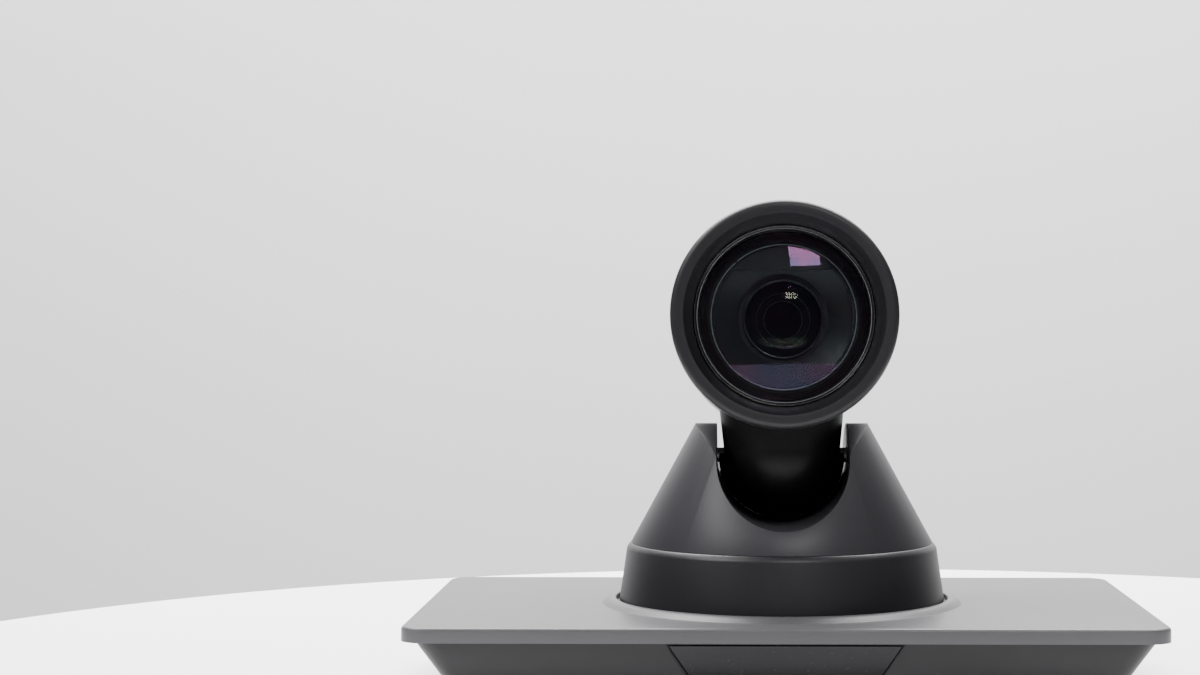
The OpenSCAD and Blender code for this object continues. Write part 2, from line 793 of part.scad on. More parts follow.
module cone_rear() {
  color([0.3, 0.3, 0.32]) union() {
    intersection() {
      cone_cover();
      translate([-far / 2, 0, 0]) cube([far, far, far]);
    }
    dust_lip();
  }
}

module tilt_frame() {
  foot_l = 9;
  color([0.62, 0.62, 0.64]) for (s = [-1, 1]) mirror([s < 0 ? 1 : 0, 0, 0]) difference() {
    union() {
      translate([bearing_x, -9, turntable_top]) cube([tilt_bearing_t, 18, tilt_z - 8 - turntable_top]);
      translate([bearing_x, -frame_eye_r, tilt_z - 10]) cube([tilt_bearing_t, 2 * frame_eye_r, 10]);
      translate([bearing_x, 0, tilt_z]) along_x() cylinder(r = frame_eye_r, h = tilt_bearing_t);
      translate([bearing_x, -14, turntable_top]) cube([tilt_bearing_t + foot_l, 28, 1.6]);
    }
    translate([bearing_x - 1, 0, tilt_z]) along_x() cylinder(r = tilt_bearing_r, h = tilt_bearing_t + 2);
    translate([bearing_x - 1, 0, tilt_motor_z]) along_x() cylinder(r = 5, h = tilt_bearing_t + 2);
  }
}

module tilt_bearings() {
  color([0.8, 0.8, 0.82]) for (x = [bearing_x, -bearing_x - tilt_bearing_t])
    translate([x, 0, tilt_z]) along_x() tube(tilt_bearing_r, axle_r + running_fit, tilt_bearing_t);
}

module motor_bracket() {
  color([0.62, 0.62, 0.64]) difference() {
    union() {
      translate([motor_face_x, -13, turntable_top])
        cube([bracket_t, 26, tilt_motor_z + 11 - turntable_top]);
      translate([motor_face_x, -13, turntable_top]) cube([bearing_x - motor_face_x - 0.4, 26, 1.2]);
    }
    translate([motor_face_x - 1, 0, tilt_motor_z]) along_x() cylinder(r = 3.5, h = bracket_t + 2);
  }
}

module tilt_motor() {
  color([0.55, 0.55, 0.58]) translate([motor_face_x, 0, tilt_motor_z]) union() {
    translate([-tilt_motor_l, 0, 0]) along_x() cylinder(r = tilt_motor_r, h = tilt_motor_l);
    along_x() cylinder(r = 3.3, h = bracket_t);
    along_x() cylinder(r = shaft_r, h = bearing_x - motor_face_x);
  }
}

module tilt_pinion() {
  color([0.85, 0.83, 0.78]) translate([tilt_gear_x, 0, tilt_motor_z]) along_x() linear_extrude(tilt_gear_t)
    difference() {
      gear_flat(pinion_teeth, 180 + 180 / pinion_teeth);
      circle(shaft_r + running_fit);
    }
}

module driver_board() {
  board_y = 34;
  color([0.08, 0.28, 0.18]) union() {
    translate([-20, board_y, turntable_top]) cube([40, 1.6, 19]);
    translate([-8, board_y - 1.4, turntable_top + 5]) cube([10, 1.5, 8]);
    translate([8, board_y - 5, turntable_top]) cube([9, 5.1, 6]);
    translate([-18, board_y - 8, turntable_top]) cube([6, 8.1, 1.2]);
  }
}

module fork_screws() {
  color([0.6, 0.6, 0.62]) for (a = fork_screw_angles) rotate(a)
    translate([fork_screw_ring, 0, turntable_z + screw_head_h])
      screw_up(turntable_t - screw_head_h + 5, screw_r);
}

// Head

module front_bezel() {
  color([0.2, 0.2, 0.21]) on_barrel() rotate_extrude($fn = 180) polygon(concat(
    [[ring_bore_r, glass_back], [barrel_in_r - sleeve_gap, glass_back],
     [barrel_in_r - sleeve_gap, bezel_back], [bezel_r, bezel_back]],
    [for (a = [0:15:90]) [bezel_r - bezel_round * (1 - cos(a)), front_reach - bezel_round * (1 - sin(a))]],
    [[mouth_r, front_reach], [ring_bore_r, ring_face]]));
}

module barrel_shell() {
  color([0.17, 0.17, 0.18]) difference() {
    on_barrel() translate([0, 0, cap_front]) difference() {
      cylinder(r = barrel_r, h = bezel_back - cap_front, $fn = 180);
      translate([0, 0, -1]) cylinder(r = barrel_in_r, h = far, $fn = 180);
    }
    in_head() cylinder(r = neck_r - neck_wall - 1, h = barrel_rise);
  }
}

module rear_cap() {
  round_r = cap_depth - 1;
  color([0.17, 0.17, 0.18]) on_barrel() difference() {
    rotate_extrude($fn = 180) polygon(concat(
      [[0, -rear_reach]],
      [for (a = [-90:15:0]) [barrel_r - round_r * (1 - cos(a)), cap_front - 1 + round_r * sin(a)]],
      [[barrel_r, cap_front], [barrel_in_r - sleeve_gap, cap_front],
       [barrel_in_r - sleeve_gap, cap_front + 4], [barrel_in_r - 2 - sleeve_gap, cap_front + 4]],
      [for (a = [0:-15:-90]) [barrel_r - 2.4 - round_r * (1 - cos(a)) + 0.2,
         cap_front + 0.8 + (round_r - 0.2) * sin(a)]],
      [[0, -rear_reach + 2]]));
    for (i = [-3:3]) translate([-13, 3.6 * i - 0.9, -rear_reach - 1]) cube([26, 1.8, 4]);
    for (s = [-1, 1], t = [-1, 1]) translate([s * spacer_xy, t * spacer_xy, -rear_reach - 1])
      cylinder(r = screw_r, h = 4);
  }
}

// Ball and neck, shrunk by t
module neck_body(t) {
  intersection() {
    sphere(ball_r_head - t, $fn = 128);
    translate([-far / 2, -far / 2, -far + neck_foot + eps]) cube(far);
  }
  intersection() {
    translate([0, 0, neck_foot - t * 2]) cylinder(r = neck_r - t, h = barrel_rise - neck_foot + 2 * t);
    rotate([90, 0, 0]) linear_extrude(far, center = true) polygon([
      [-neck_half_w + t, neck_foot - 2 * t], [neck_half_w - t, neck_foot - 2 * t],
      [neck_half_w - t + neck_flare * barrel_rise, barrel_rise],
      [-neck_half_w + t - neck_flare * barrel_rise, barrel_rise]]);
  }
}

module neck_shell() {
  color([0.12, 0.12, 0.13]) in_head() difference() {
    neck_body(0);
    neck_body(neck_wall);
    translate([0, 0, barrel_rise]) rotate([90, 0, 0])
      cylinder(r = barrel_r, h = far, center = true, $fn = 180);
    translate([-far / 2, 0, 0]) along_x() cylinder(r = axle_r + 0.6, h = far);
  }
}

module trunnion_frame() {
  cradle_z = barrel_rise - lens_tube_r;
  cradle_t = 3;
  hub_half_w = ball_r_head - neck_wall - 5.3;
  hub_half = 7;
  stem = [20, 12];
  color([0.6, 0.6, 0.62]) in_head() difference() {
    union() {
      translate([-axle_end, 0, 0]) along_x() cylinder(r = axle_r, h = 2 * axle_end);
      translate([-hub_half_w, -hub_half, -hub_half]) cube([2 * hub_half_w, 2 * hub_half, 2 * hub_half]);
      translate([-stem[0] / 2, -stem[1] / 2, hub_half - eps])
        cube([stem[0], stem[1], cradle_z + cradle_t - hub_half]);
      translate([-hub_half_w, -hub_half_w, cradle_z]) cube([2 * hub_half_w, 2 * hub_half_w, cradle_t]);
    }
    translate([0, 0, barrel_rise]) rotate([90, 0, 0]) cylinder(r = lens_tube_r, h = far, center = true);
    translate([0, 0, -8]) cylinder(r = 3, h = 12);
  }
}

module tilt_gear() {
  reach_down = tilt_range + rest_tilt + 7;
  reach_up = tilt_range - rest_tilt + 7;
  pitch_angle = 360 / tilt_teeth;
  first = -floor(reach_down / pitch_angle);
  last = floor(reach_up / pitch_angle);
  root_r = tilt_pitch_r - 1.2 * gear_module;
  color([0.9, 0.88, 0.82]) translate([tilt_gear_x, 0, tilt_z]) along_x() linear_extrude(tilt_gear_t)
    difference() {
      union() {
        circle(axle_r + 3.5);
        polygon(concat([[0, 0]], teeth_points(tilt_teeth, first, last)));
      }
      circle(axle_r);
      difference() {
        circle(root_r - 3);
        circle(axle_r + 3.5);
        rotate((last + first) / 2 * pitch_angle) translate([0, -4]) square([root_r, 8]);
      }
    }
}

// Lens block

module lens_ring() {
  rim_z = glass_back + glass_edge_t;
  color([0.08, 0.07, 0.08]) on_barrel() rotate_extrude() polygon([
    [glass_edge_r, glass_back], [ring_r, glass_back], [ring_r, ring_face - 0.4],
    [ring_r - 0.4, ring_face], [glass_r + 0.5, ring_face], [glass_r, ring_face - 0.5],
    [glass_r, rim_z], [glass_edge_r, rim_z]]);
}

module lens_tube() {
  color([0.09, 0.09, 0.1]) on_barrel() difference() {
    union() {
      translate([0, 0, tube_back]) cylinder(r = lens_tube_r, h = glass_back - tube_back);
      translate([0, 0, glass_back - 3]) cylinder(r = ring_r, h = 3);
      at_corners(spacer_xy, spacer_xy) translate([0, 0, sensor_z + board_t])
        cylinder(r = 2.2, h = tube_back - sensor_z - board_t + eps);
    }
    translate([0, 0, tube_back + 2]) cylinder(r = tube_in_r, h = far);
    translate([0, 0, tube_back - 1]) cylinder(r = 9, h = 4);
    for (a = [30:60:330]) rotate(a) translate([(tube_in_r + lens_tube_r) / 2, 0, glass_back - 0.6])
      cylinder(r = 0.5, h = 4);
  }
}

module front_glass() {
  bulge_r = 75;
  hollow_r = 45;
  color([0.5, 0.6, 0.75, 0.35]) on_barrel() difference() {
    intersection() {
      translate([0, 0, glass_back]) cylinder(r = glass_edge_r, h = far);
      translate([0, 0, ring_face - bulge_r]) sphere(bulge_r, $fn = 180);
    }
    translate([0, 0, glass_back + 1.5 - hollow_r]) sphere(hollow_r, $fn = 180);
    translate([0, 0, glass_back + glass_edge_t]) tube(glass_edge_r + 1, glass_r - 0.1, far);
  }
}

module picture_mask() {
  color([0.05, 0.05, 0.05]) on_barrel() translate([0, 0, mask_z]) difference() {
    cylinder(r = tube_in_r, h = glass_back - mask_z);
    translate([0, 0, -1]) intersection() {
      cylinder(r = mask_r, h = 9);
      translate([-far / 2, -mask_half_h, 0]) cube([far, 2 * mask_half_h, 9]);
    }
  }
}

module front_cell() {
  color([0.35, 0.36, 0.38]) on_barrel() rotate_extrude() polygon([
    [iris_r, cell_back], [tube_in_r, cell_back], [tube_in_r, cell_front],
    [mask_r, cell_front],
    [inner_glass_r + 2.2, cell_front - 6], [inner_glass_r + 1.8, cell_front - 5.2],
    [inner_glass_r, cell_front - 5.6], [inner_glass_r, cell_back + iris_t],
    [iris_r, cell_back + iris_t]]);
}

module inner_glass() {
  color([0.3, 0.35, 0.45, 0.4]) on_barrel() intersection() {
    translate([0, 0, cell_back + 1]) cylinder(r = inner_glass_r, h = cell_front - cell_back);
    translate([0, 0, cell_front - 4.6 - 30]) sphere(30, $fn = 128);
  }
}

module guide_rods() {
  color([0.85, 0.85, 0.87]) on_barrel() for (s = [-1, 1]) translate([s * rod_x, 0, tube_back + 2])
    cylinder(r = rod_r, h = cell_back - tube_back - 2);
}

// Small motor with its lead screw pointing back
module small_motor(z_back, screw_back) {
  union() {
    translate([0, rail_z, z_back]) cylinder(r = motor_small_r, h = motor_small_l);
    translate([0, rail_z, screw_back]) cylinder(r = lead_screw_r, h = z_back - screw_back + eps);
    translate([-3, rail_z + 2, z_back]) cube([6, tube_in_r - rail_z - 2.8, motor_small_l]);
  }
}

module zoom_motor() {
  color([0.7, 0.7, 0.72]) on_barrel() small_motor(cell_back - motor_small_l, zoom_z - zoom_back - 1.5);
}

module focus_motor() {
  color([0.7, 0.7, 0.72]) on_barrel() rotate(180)
    small_motor(focus_z + focus_travel + arm_t + 1, tube_back + 2);
}

// Lens carriage: a ring with two rod bosses and an arm to its lead screw
module carriage(r, len, glass) {
  difference() {
    union() {
      cylinder(r = r, h = len);
      for (s = [-1, 1]) {
        translate([s * rod_x, 0, 0]) cylinder(r = 3, h = len);
        translate([s > 0 ? 0 : -rod_x, -1.5, 0]) cube([rod_x, 3, len]);
      }
      translate([-2, 0, 0]) cube([4, rail_z, arm_t]);
      translate([0, rail_z, 0]) cylinder(r = 2.6, h = arm_t);
    }
    translate([0, 0, -1]) cylinder(r = glass, h = len + 2);
    for (s = [-1, 1]) translate([s * rod_x, 0, -1]) cylinder(r = rod_r + running_fit, h = len + 2);
    translate([0, rail_z, -1]) cylinder(r = lead_screw_r + running_fit, h = arm_t + 2);
  }
}

// Round lens with both faces bulging
module small_lens(r, len, bulge_r) {
  intersection() {
    cylinder(r = r, h = len);
    translate([0, 0, len - bulge_r]) sphere(bulge_r, $fn = 128);
    translate([0, 0, bulge_r]) sphere(bulge_r, $fn = 128);
  }
}

module zoom_carriage() {
  color([0.1, 0.1, 0.11]) on_barrel() translate([0, 0, zoom_z]) carriage(zoom_r, zoom_len, zoom_r - 3);
}

module zoom_glass() {
  color([0.5, 0.6, 0.75, 0.35]) on_barrel() translate([0, 0, zoom_z + 1])
    small_lens(zoom_r - 3, zoom_len - 2, 26);
}

module focus_carriage() {
  color([0.1, 0.1, 0.11]) on_barrel() translate([0, 0, focus_z]) rotate(180)
    carriage(focus_r, focus_len, focus_r - 3);
}

module focus_glass() {
  color([0.5, 0.6, 0.75, 0.35]) on_barrel() translate([0, 0, focus_z + 0.8])
    small_lens(focus_r - 3, focus_len - 1.6, 20);
}

module sensor_board() {
  color([0.08, 0.28, 0.18]) on_barrel() translate([0, 0, sensor_z]) union() {
    linear_extrude(board_t) round_rect(2 * spacer_xy + 7, 2 * spacer_xy + 7, 2);
    translate([-6, -5, board_t - eps]) cube([12, 10, 1.6]);
  }
}

module head_board() {
  color([0.08, 0.28, 0.18]) on_barrel() translate([0, 0, head_board_z]) union() {
    cylinder(r = 27, h = board_t);
    translate([-6, -6, board_t - eps]) cube([12, 12, 1.4]);
    translate([-8, -22, board_t - eps]) cube([16, 5, 4]);
  }
}

module board_spacers() {
  color([0.75, 0.6, 0.3]) on_barrel() at_corners(spacer_xy, spacer_xy) {
    translate([0, 0, head_board_z + board_t]) cylinder(r = 2.4, h = sensor_z - head_board_z - board_t);
    difference() {
      translate([0, 0, -rear_reach + 2]) cylinder(r = 2.4, h = head_board_z + rear_reach - 2);
      translate([0, 0, -rear_reach + 1]) cylinder(r = screw_r, h = 7);
    }
  }
}

module cap_screws() {
  color([0.15, 0.15, 0.15]) on_barrel() at_corners(spacer_xy, spacer_xy) translate([0, 0, -rear_reach])
    screw_up(8, screw_r);
}

base_cover();
base_shell();
front_window();
indicator_board();
rear_panel();
bottom_plate();
tripod_insert();
rubber_feet();
base_screws();
main_board();
heat_sink();
power_jack();
hdmi_port();
usb_port();
lan_port();
serial_ports();
audio_jack();
pan_frame();
pan_motor();
pan_bearing_outer();
pan_bearing_balls();
pan_pinion();
turntable();
pan_bearing_inner();
pan_gear();
spindle_nut();
fork_skirt();
cone_front();
cone_rear();
tilt_frame();
tilt_bearings();
motor_bracket();
tilt_motor();
driver_board();
fork_screws();
tilt_pinion();
front_bezel();
barrel_shell();
rear_cap();
neck_shell();
trunnion_frame();
tilt_gear();
lens_ring();
lens_tube();
front_glass();
picture_mask();
front_cell();
inner_glass();
guide_rods();
zoom_motor();
focus_motor();
zoom_carriage();
zoom_glass();
focus_carriage();
focus_glass();
sensor_board();
head_board();
board_spacers();
cap_screws();
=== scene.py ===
# %% [markdown]
# # A conference camera, one piece at a time
# The camera stands on a wide flat base. A cone-shaped fork turns on the base, and a round
# head with a zoom lens tilts between the fork's two ears. The mechanical model is loaded
# first and never changed. The shells that people see are then modelled over it,
# in metres and in the same place, and every piece gets a finish of its own.

# %% Load the mechanical model
import json
import math
import bpy
from mathutils import Matrix, Vector


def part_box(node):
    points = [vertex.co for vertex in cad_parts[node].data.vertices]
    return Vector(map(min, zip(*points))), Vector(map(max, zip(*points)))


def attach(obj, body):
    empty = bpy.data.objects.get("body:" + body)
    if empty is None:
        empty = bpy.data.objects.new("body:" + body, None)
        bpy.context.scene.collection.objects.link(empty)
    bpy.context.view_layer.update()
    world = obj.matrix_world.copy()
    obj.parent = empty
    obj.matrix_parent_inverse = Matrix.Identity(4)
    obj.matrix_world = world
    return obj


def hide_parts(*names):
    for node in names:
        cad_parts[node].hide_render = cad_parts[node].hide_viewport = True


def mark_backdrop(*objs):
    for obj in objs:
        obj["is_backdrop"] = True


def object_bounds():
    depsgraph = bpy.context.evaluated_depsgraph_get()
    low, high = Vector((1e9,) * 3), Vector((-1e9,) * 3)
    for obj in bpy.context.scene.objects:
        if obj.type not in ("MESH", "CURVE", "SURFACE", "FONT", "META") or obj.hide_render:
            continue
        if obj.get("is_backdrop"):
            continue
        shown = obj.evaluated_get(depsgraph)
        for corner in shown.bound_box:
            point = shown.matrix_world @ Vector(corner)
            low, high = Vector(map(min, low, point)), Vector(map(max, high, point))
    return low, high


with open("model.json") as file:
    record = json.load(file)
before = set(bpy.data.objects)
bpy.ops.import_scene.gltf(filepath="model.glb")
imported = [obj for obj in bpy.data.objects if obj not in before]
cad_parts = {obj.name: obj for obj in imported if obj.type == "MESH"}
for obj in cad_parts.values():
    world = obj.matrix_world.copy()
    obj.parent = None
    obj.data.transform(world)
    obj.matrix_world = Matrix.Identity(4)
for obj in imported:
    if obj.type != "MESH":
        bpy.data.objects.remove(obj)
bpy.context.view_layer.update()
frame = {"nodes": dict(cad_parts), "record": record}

# %% [markdown]
# ## Sizes
# Every shell must meet the parts inside it, so its size is read from the mechanical
# model's boxes and joints. Only small details that the mechanics don't need, such as the
# round on an edge, are given here as numbers. They are in millimetres, which is how a
# moulding is drawn, and MM turns them into metres.

# %% Sizes read from the mechanical model
MM = 0.001


def size_of(node):
    """Width, depth and height of a node, in metres."""
    low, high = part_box(node)
    return Vector(high) - Vector(low)


def top_of(node):
    """Height of a node's highest point."""
    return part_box(node)[1][2]


def foot_of(node):
    """Height of a node's lowest point."""
    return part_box(node)[0][2]


joints = {joint["name"]: joint for joint in frame["record"]["behaviour"]["joints"]}
tilt_axis = Vector(joints["tilt"]["pos_m"])
lens_way = Vector(joints["zoom"]["axis"])
rest_tilt = math.atan2(lens_way.z, -lens_way.y)

cover_w, cover_d, _ = size_of("base_cover")
shell_w, shell_d, _ = size_of("base_shell")
shell_foot, rim_under = foot_of("base_shell"), top_of("base_shell")
cover_top = rim_under + 4.7 * MM
skirt_r = size_of("fork_skirt").x / 2
skirt_foot, ledge_z = foot_of("fork_skirt"), top_of("fork_skirt")
cone_r = size_of("cone_front").x / 2
ear_top = top_of("cone_front")
bezel_r = size_of("front_bezel").x / 2
barrel_r = size_of("barrel_shell").x / 2
print(f"cover {cover_w:.3f} x {cover_d:.3f} m, rest tilt {math.degrees(rest_tilt):.1f} degrees")

# %% [markdown]
# ## The two frames that pieces are built in
# The base and the fork are upright, so they are built where they stand. The head is tilted
# a little at rest. It is easier to turn a ring on an upright axis than on a tilted one, so
# the head's round pieces are built around the world's Z axis, with Z as the way the lens
# looks, and laid into place at the end by one matrix.

# %% Frames of the head and the barrel
barrel_rise = 43.8 * MM
in_head = Matrix.Translation(tilt_axis) @ Matrix.Rotation(-rest_tilt, 4, "X")
on_barrel = in_head @ Matrix.Translation((0, 0, barrel_rise)) @ Matrix.Rotation(math.pi / 2, 4, "X")
upright = Matrix.Identity(4)

# %% [markdown]
# ## Helpers for modelling
# Each helper does what a person does by hand in edit mode. Nothing else may be selected
# when an operator runs, so each one starts by deselecting everything.

# %% Selecting and placing
def only(piece):
    """Makes piece the one selected, active object."""
    if bpy.context.object and bpy.context.object.mode == "EDIT":
        bpy.ops.object.mode_set(mode="OBJECT")
    bpy.ops.object.select_all(action="DESELECT")
    piece.select_set(True)
    bpy.context.view_layer.objects.active = piece


def place(piece, matrix):
    """Moves piece by matrix and writes its place into its mesh."""
    only(piece)
    piece.matrix_world = matrix @ piece.matrix_world
    bpy.ops.object.transform_apply(location=True, rotation=True, scale=True)


def named_new(name):
    """The object that an operator has just added, under its own name."""
    piece = bpy.context.object
    piece.name = name
    piece.data.name = name
    piece.data.materials.clear()
    return piece


def tidy_mesh(piece):
    """Welds doubles and points every face outwards."""
    only(piece)
    bpy.ops.object.mode_set(mode="EDIT")
    bpy.ops.mesh.select_all(action="SELECT")
    bpy.ops.mesh.remove_doubles(threshold=1e-6)
    bpy.ops.mesh.normals_make_consistent(inside=False)
    bpy.ops.object.mode_set(mode="OBJECT")


def smooth(piece, degrees=32):
    """Shades round where faces meet at less than this angle."""
    only(piece)
    bpy.ops.object.shade_smooth_by_angle(angle=math.radians(degrees))


# %% Turned shapes
def arc(middle_r, middle_h, radius, start, end, steps=6):
    """Points on an arc of a turned outline, by angle from the outward direction, in millimetres."""
    angles = [math.radians(start + (end - start) * i / steps) for i in range(steps + 1)]
    return [(middle_r + radius * math.cos(a), middle_h + radius * math.sin(a)) for a in angles]


def around(middle_r, middle_h, steps):
    """Points of a turned outline, each given as steps out and up from one place, in millimetres."""
    return [(middle_r + out, middle_h + up) for out, up in steps]


def turned(name, outline, steps=128, matrix=upright, closed=True):
    """A ring drawn out along an outline of (radius, height) points in millimetres.
    A closed outline ends where it starts. An open one is closed by a pole at each end."""
    radius, height = outline[0]
    bpy.ops.object.select_all(action="DESELECT")
    bpy.ops.mesh.primitive_circle_add(vertices=steps, radius=radius * MM, location=(0, 0, height * MM))
    piece = named_new(name)
    bpy.ops.object.mode_set(mode="EDIT")
    bpy.ops.mesh.select_mode(type="VERT")
    bpy.ops.mesh.select_all(action="SELECT")
    for next_r, next_h in outline[1:] + (outline[:1] if closed else []):
        bpy.ops.mesh.extrude_edges_move(TRANSFORM_OT_translate={"value": (0, 0, (next_h - height) * MM)})
        grow = next_r / radius
        bpy.ops.transform.resize(value=(grow, grow, 1), center_override=(0, 0, next_h * MM))
        radius, height = next_r, next_h
    if not closed:
        bpy.ops.mesh.extrude_edges_move()
        bpy.ops.mesh.merge(type="CENTER")
        bpy.ops.mesh.select_all(action="DESELECT")
        bpy.ops.mesh.select_non_manifold()
        bpy.ops.mesh.extrude_edges_move()
        bpy.ops.mesh.merge(type="CENTER")
    bpy.ops.object.mode_set(mode="OBJECT")
    place(piece, matrix)
    tidy_mesh(piece)
    return piece


# %% Cutting, joining and softening
def combine(piece, other, operation="DIFFERENCE"):
    """Cuts other out of piece, or joins it on, and removes other."""
    only(piece)
    modifier = piece.modifiers.new("combine", "BOOLEAN")
    modifier.operation = operation
    modifier.solver = "EXACT"
    modifier.object = other
    bpy.ops.object.modifier_apply(modifier=modifier.name)
    bpy.data.objects.remove(other)
    return piece


def soften(piece, width, segments=3, degrees=40):
    """Rounds every edge sharper than this angle, as a mould does. The width is in millimetres."""
    only(piece)
    modifier = piece.modifiers.new("soften", "BEVEL")
    modifier.width = width * MM
    modifier.segments = segments
    modifier.limit_method = "ANGLE"
    modifier.angle_limit = math.radians(degrees)
    modifier.miter_outer = "MITER_ARC"
    bpy.ops.object.modifier_apply(modifier=modifier.name)
    return piece


def block(name, low, high, matrix=upright):
    """A box from its lowest to its highest corner, in metres."""
    low, high = Vector(low), Vector(high)
    bpy.ops.object.select_all(action="DESELECT")
    bpy.ops.mesh.primitive_cube_add(size=1, location=(low + high) / 2, scale=high - low)
    piece = named_new(name)
    place(piece, matrix)
    return piece


def rod(name, radius, low, high, steps=96, matrix=upright):
    """An upright cylinder between two heights, in metres, moved by matrix."""
    bpy.ops.object.select_all(action="DESELECT")
    bpy.ops.mesh.primitive_cylinder_add(
        vertices=steps, radius=radius, depth=high - low, location=(0, 0, (low + high) / 2))
    piece = named_new(name)
    place(piece, matrix)
    return piece


def pick(piece, want, kind="EDGE"):
    """Opens piece in edit mode with only the edges or faces that want accepts selected."""
    only(piece)
    bpy.ops.object.mode_set(mode="EDIT")
    bpy.ops.mesh.select_mode(type=kind)
    bpy.ops.mesh.select_all(action="DESELECT")
    bpy.ops.object.mode_set(mode="OBJECT")
    mesh = piece.data
    if kind == "EDGE":
        for edge in mesh.edges:
            edge.select = want([mesh.vertices[i].co for i in edge.vertices])
    else:
        for face in mesh.polygons:
            face.select = want(face)
    bpy.ops.object.mode_set(mode="EDIT")


def round_edges(piece, want, width, segments):
    """Rounds the edges that want accepts. The width is in millimetres."""
    pick(piece, want)
    bpy.ops.mesh.bevel(offset=width * MM, segments=segments, affect="EDGES", clamp_overlap=True)
    bpy.ops.object.mode_set(mode="OBJECT")


AXIS_Y = Matrix.Rotation(math.pi / 2, 4, "X")
AXIS_X = Matrix.Rotation(math.pi / 2, 4, "Y")

# %% [markdown]
# ## Helpers for finishes
# A finish is a small sum of patterns. Writing it with nodes one by one hides the sum, so a
# Value wraps a node's socket and lets it be added and multiplied like a number. Colours go
# through a Mix node instead, because a Math node turns a colour grey.

# %% Shader maths
class Value:
    """A socket of a material that can be used in sums."""

    def __init__(self, finish, socket):
        self.finish = finish
        self.socket = socket

    def _sum(self, operation, first, second):
        return self.finish.node("ShaderNodeMath", {"operation": operation}, {0: first, 1: second})

    def __add__(self, other):
        return self._sum("ADD", self, other)

    def __radd__(self, other):
        return self._sum("ADD", other, self)

    def __mul__(self, other):
        return self._sum("MULTIPLY", self, other)

    def __rmul__(self, other):
        return self._sum("MULTIPLY", other, self)


class Finish:
    """A material that is built up from nodes."""

    def __init__(self, name):
        self.material = bpy.data.materials.new(name)
        self.material.use_nodes = True
        self.tree = self.material.node_tree
        self.tree.nodes.clear()

    def node(self, kind, settings, sockets, out=0):
        """Adds a node, sets it up, joins or sets its sockets and returns its output."""
        made = self.tree.nodes.new(kind)
        for key, value in settings.items():
            setattr(made, key, value)
        for key, value in sockets.items():
            if isinstance(value, Value):
                self.tree.links.new(value.socket, made.inputs[key])
            else:
                made.inputs[key].default_value = value
        return Value(self, made.outputs[out])

    def place(self):
        """Where a point is on the piece, in metres."""
        return self.node("ShaderNodeTexCoord", {}, {}, "Object")

    def noise(self, scale, detail=2.0):
        """A cloudy pattern from 0 to 1."""
        return self.node("ShaderNodeTexNoise", {}, {"Vector": self.place(), "Scale": scale, "Detail": detail})

    def blend(self, share, first, second):
        """Goes from the first colour to the second."""
        return self.node("ShaderNodeMix", {"data_type": "RGBA"}, {0: share, 6: first, 7: second}, 2)

    def bump(self, height, depth):
        """Raises the surface by height times depth, in metres."""
        return self.node("ShaderNodeBump", {}, {"Height": height, "Distance": depth, "Strength": 1.0})

    def surface(self, **sockets):
        """A Principled surface with these sockets."""
        named = {key.replace("_", " "): value for key, value in sockets.items()}
        return self.node("ShaderNodeBsdfPrincipled", {}, named)

    def done(self, shader):
        """Joins the shader to the output."""
        output = self.tree.nodes.new("ShaderNodeOutputMaterial")
        self.tree.links.new(shader.socket, output.inputs["Surface"])
        return self.material


def grey(level, cast=0.0):
    """A grey with a slight violet cast, or a green one if cast is below zero."""
    return (level * (1 + 0.5 * cast), level, level * (1 + cast), 1.0)


# %% [markdown]
# ## Moulded plastic
# The shells are injection moulded with a fine spark-eroded grain. The grain is too small to
# model, so it is a bump of a few hundredths of a millimetre. The gloss changes slightly over
# the surface, as a mould's polish does, and faint dust makes the tone uneven.

# %% Plastic finishes
def moulded(name, level, roughness, cast=0.0, grain=0.02, speckle=0.06, flake=0.0, sheen=0.5):
    """Grained plastic of a grey level. flake is the share of metal flakes in its paint."""
    finish = Finish(name)
    cloud = finish.noise(28.0, 3.0)
    fine = finish.noise(2600.0, 1.0)
    middle = finish.noise(900.0, 2.0)
    colour = finish.blend(cloud, grey(level * (1 - speckle), cast), grey(level * (1 + speckle), cast))
    gloss = roughness - 0.04 + 0.05 * cloud + 0.05 * fine
    height = 0.7 * fine + 0.5 * middle
    normal = finish.bump(height, grain * MM)
    shine = flake * (0.8 + 0.4 * cloud)
    return finish.done(finish.surface(
        Base_Color=colour, Roughness=gloss, Metallic=shine, Normal=normal, Specular_IOR_Level=sheen))


cover_finish = moulded("cover_moulding", 0.078, 0.38, 0.06, flake=0.08, sheen=0.2)
shell_finish = moulded("shell_moulding", 0.013, 0.45, 0.1, sheen=0.3)
skirt_finish = moulded("skirt_moulding", 0.009, 0.4, 0.2, sheen=0.3)
cone_finish = moulded("cone_moulding", 0.017, 0.42, 0.2, sheen=0.3)
head_finish = moulded("head_moulding", 0.008, 0.45, 0.2, sheen=0.3)
neck_finish = moulded("neck_moulding", 0.003, 0.42, 0.2, sheen=0.2)
rubber_finish = moulded("foot_rubber", 0.012, 0.8, grain=0.05)
port_finish = moulded("port_moulding", 0.012, 0.5)
gear_finish = moulded("gear_acetal", 0.62, 0.5, -0.1)


# %% Metal and circuit finishes
def metal(name, colour, roughness, streak=400.0):
    """Bare or plated metal with a fine uneven polish."""
    finish = Finish(name)
    cloud = finish.noise(60.0, 3.0)
    fine = finish.noise(streak, 2.0)
    dull = tuple(part * 0.88 for part in colour) + (1.0,)
    bright = tuple(min(1, part * 1.08) for part in colour) + (1.0,)
    tone = finish.blend(cloud, dull, bright)
    gloss = roughness - 0.06 + 0.12 * fine
    normal = finish.bump(fine, 0.01 * MM)
    return finish.done(finish.surface(Base_Color=tone, Metallic=1.0, Roughness=gloss, Normal=normal))


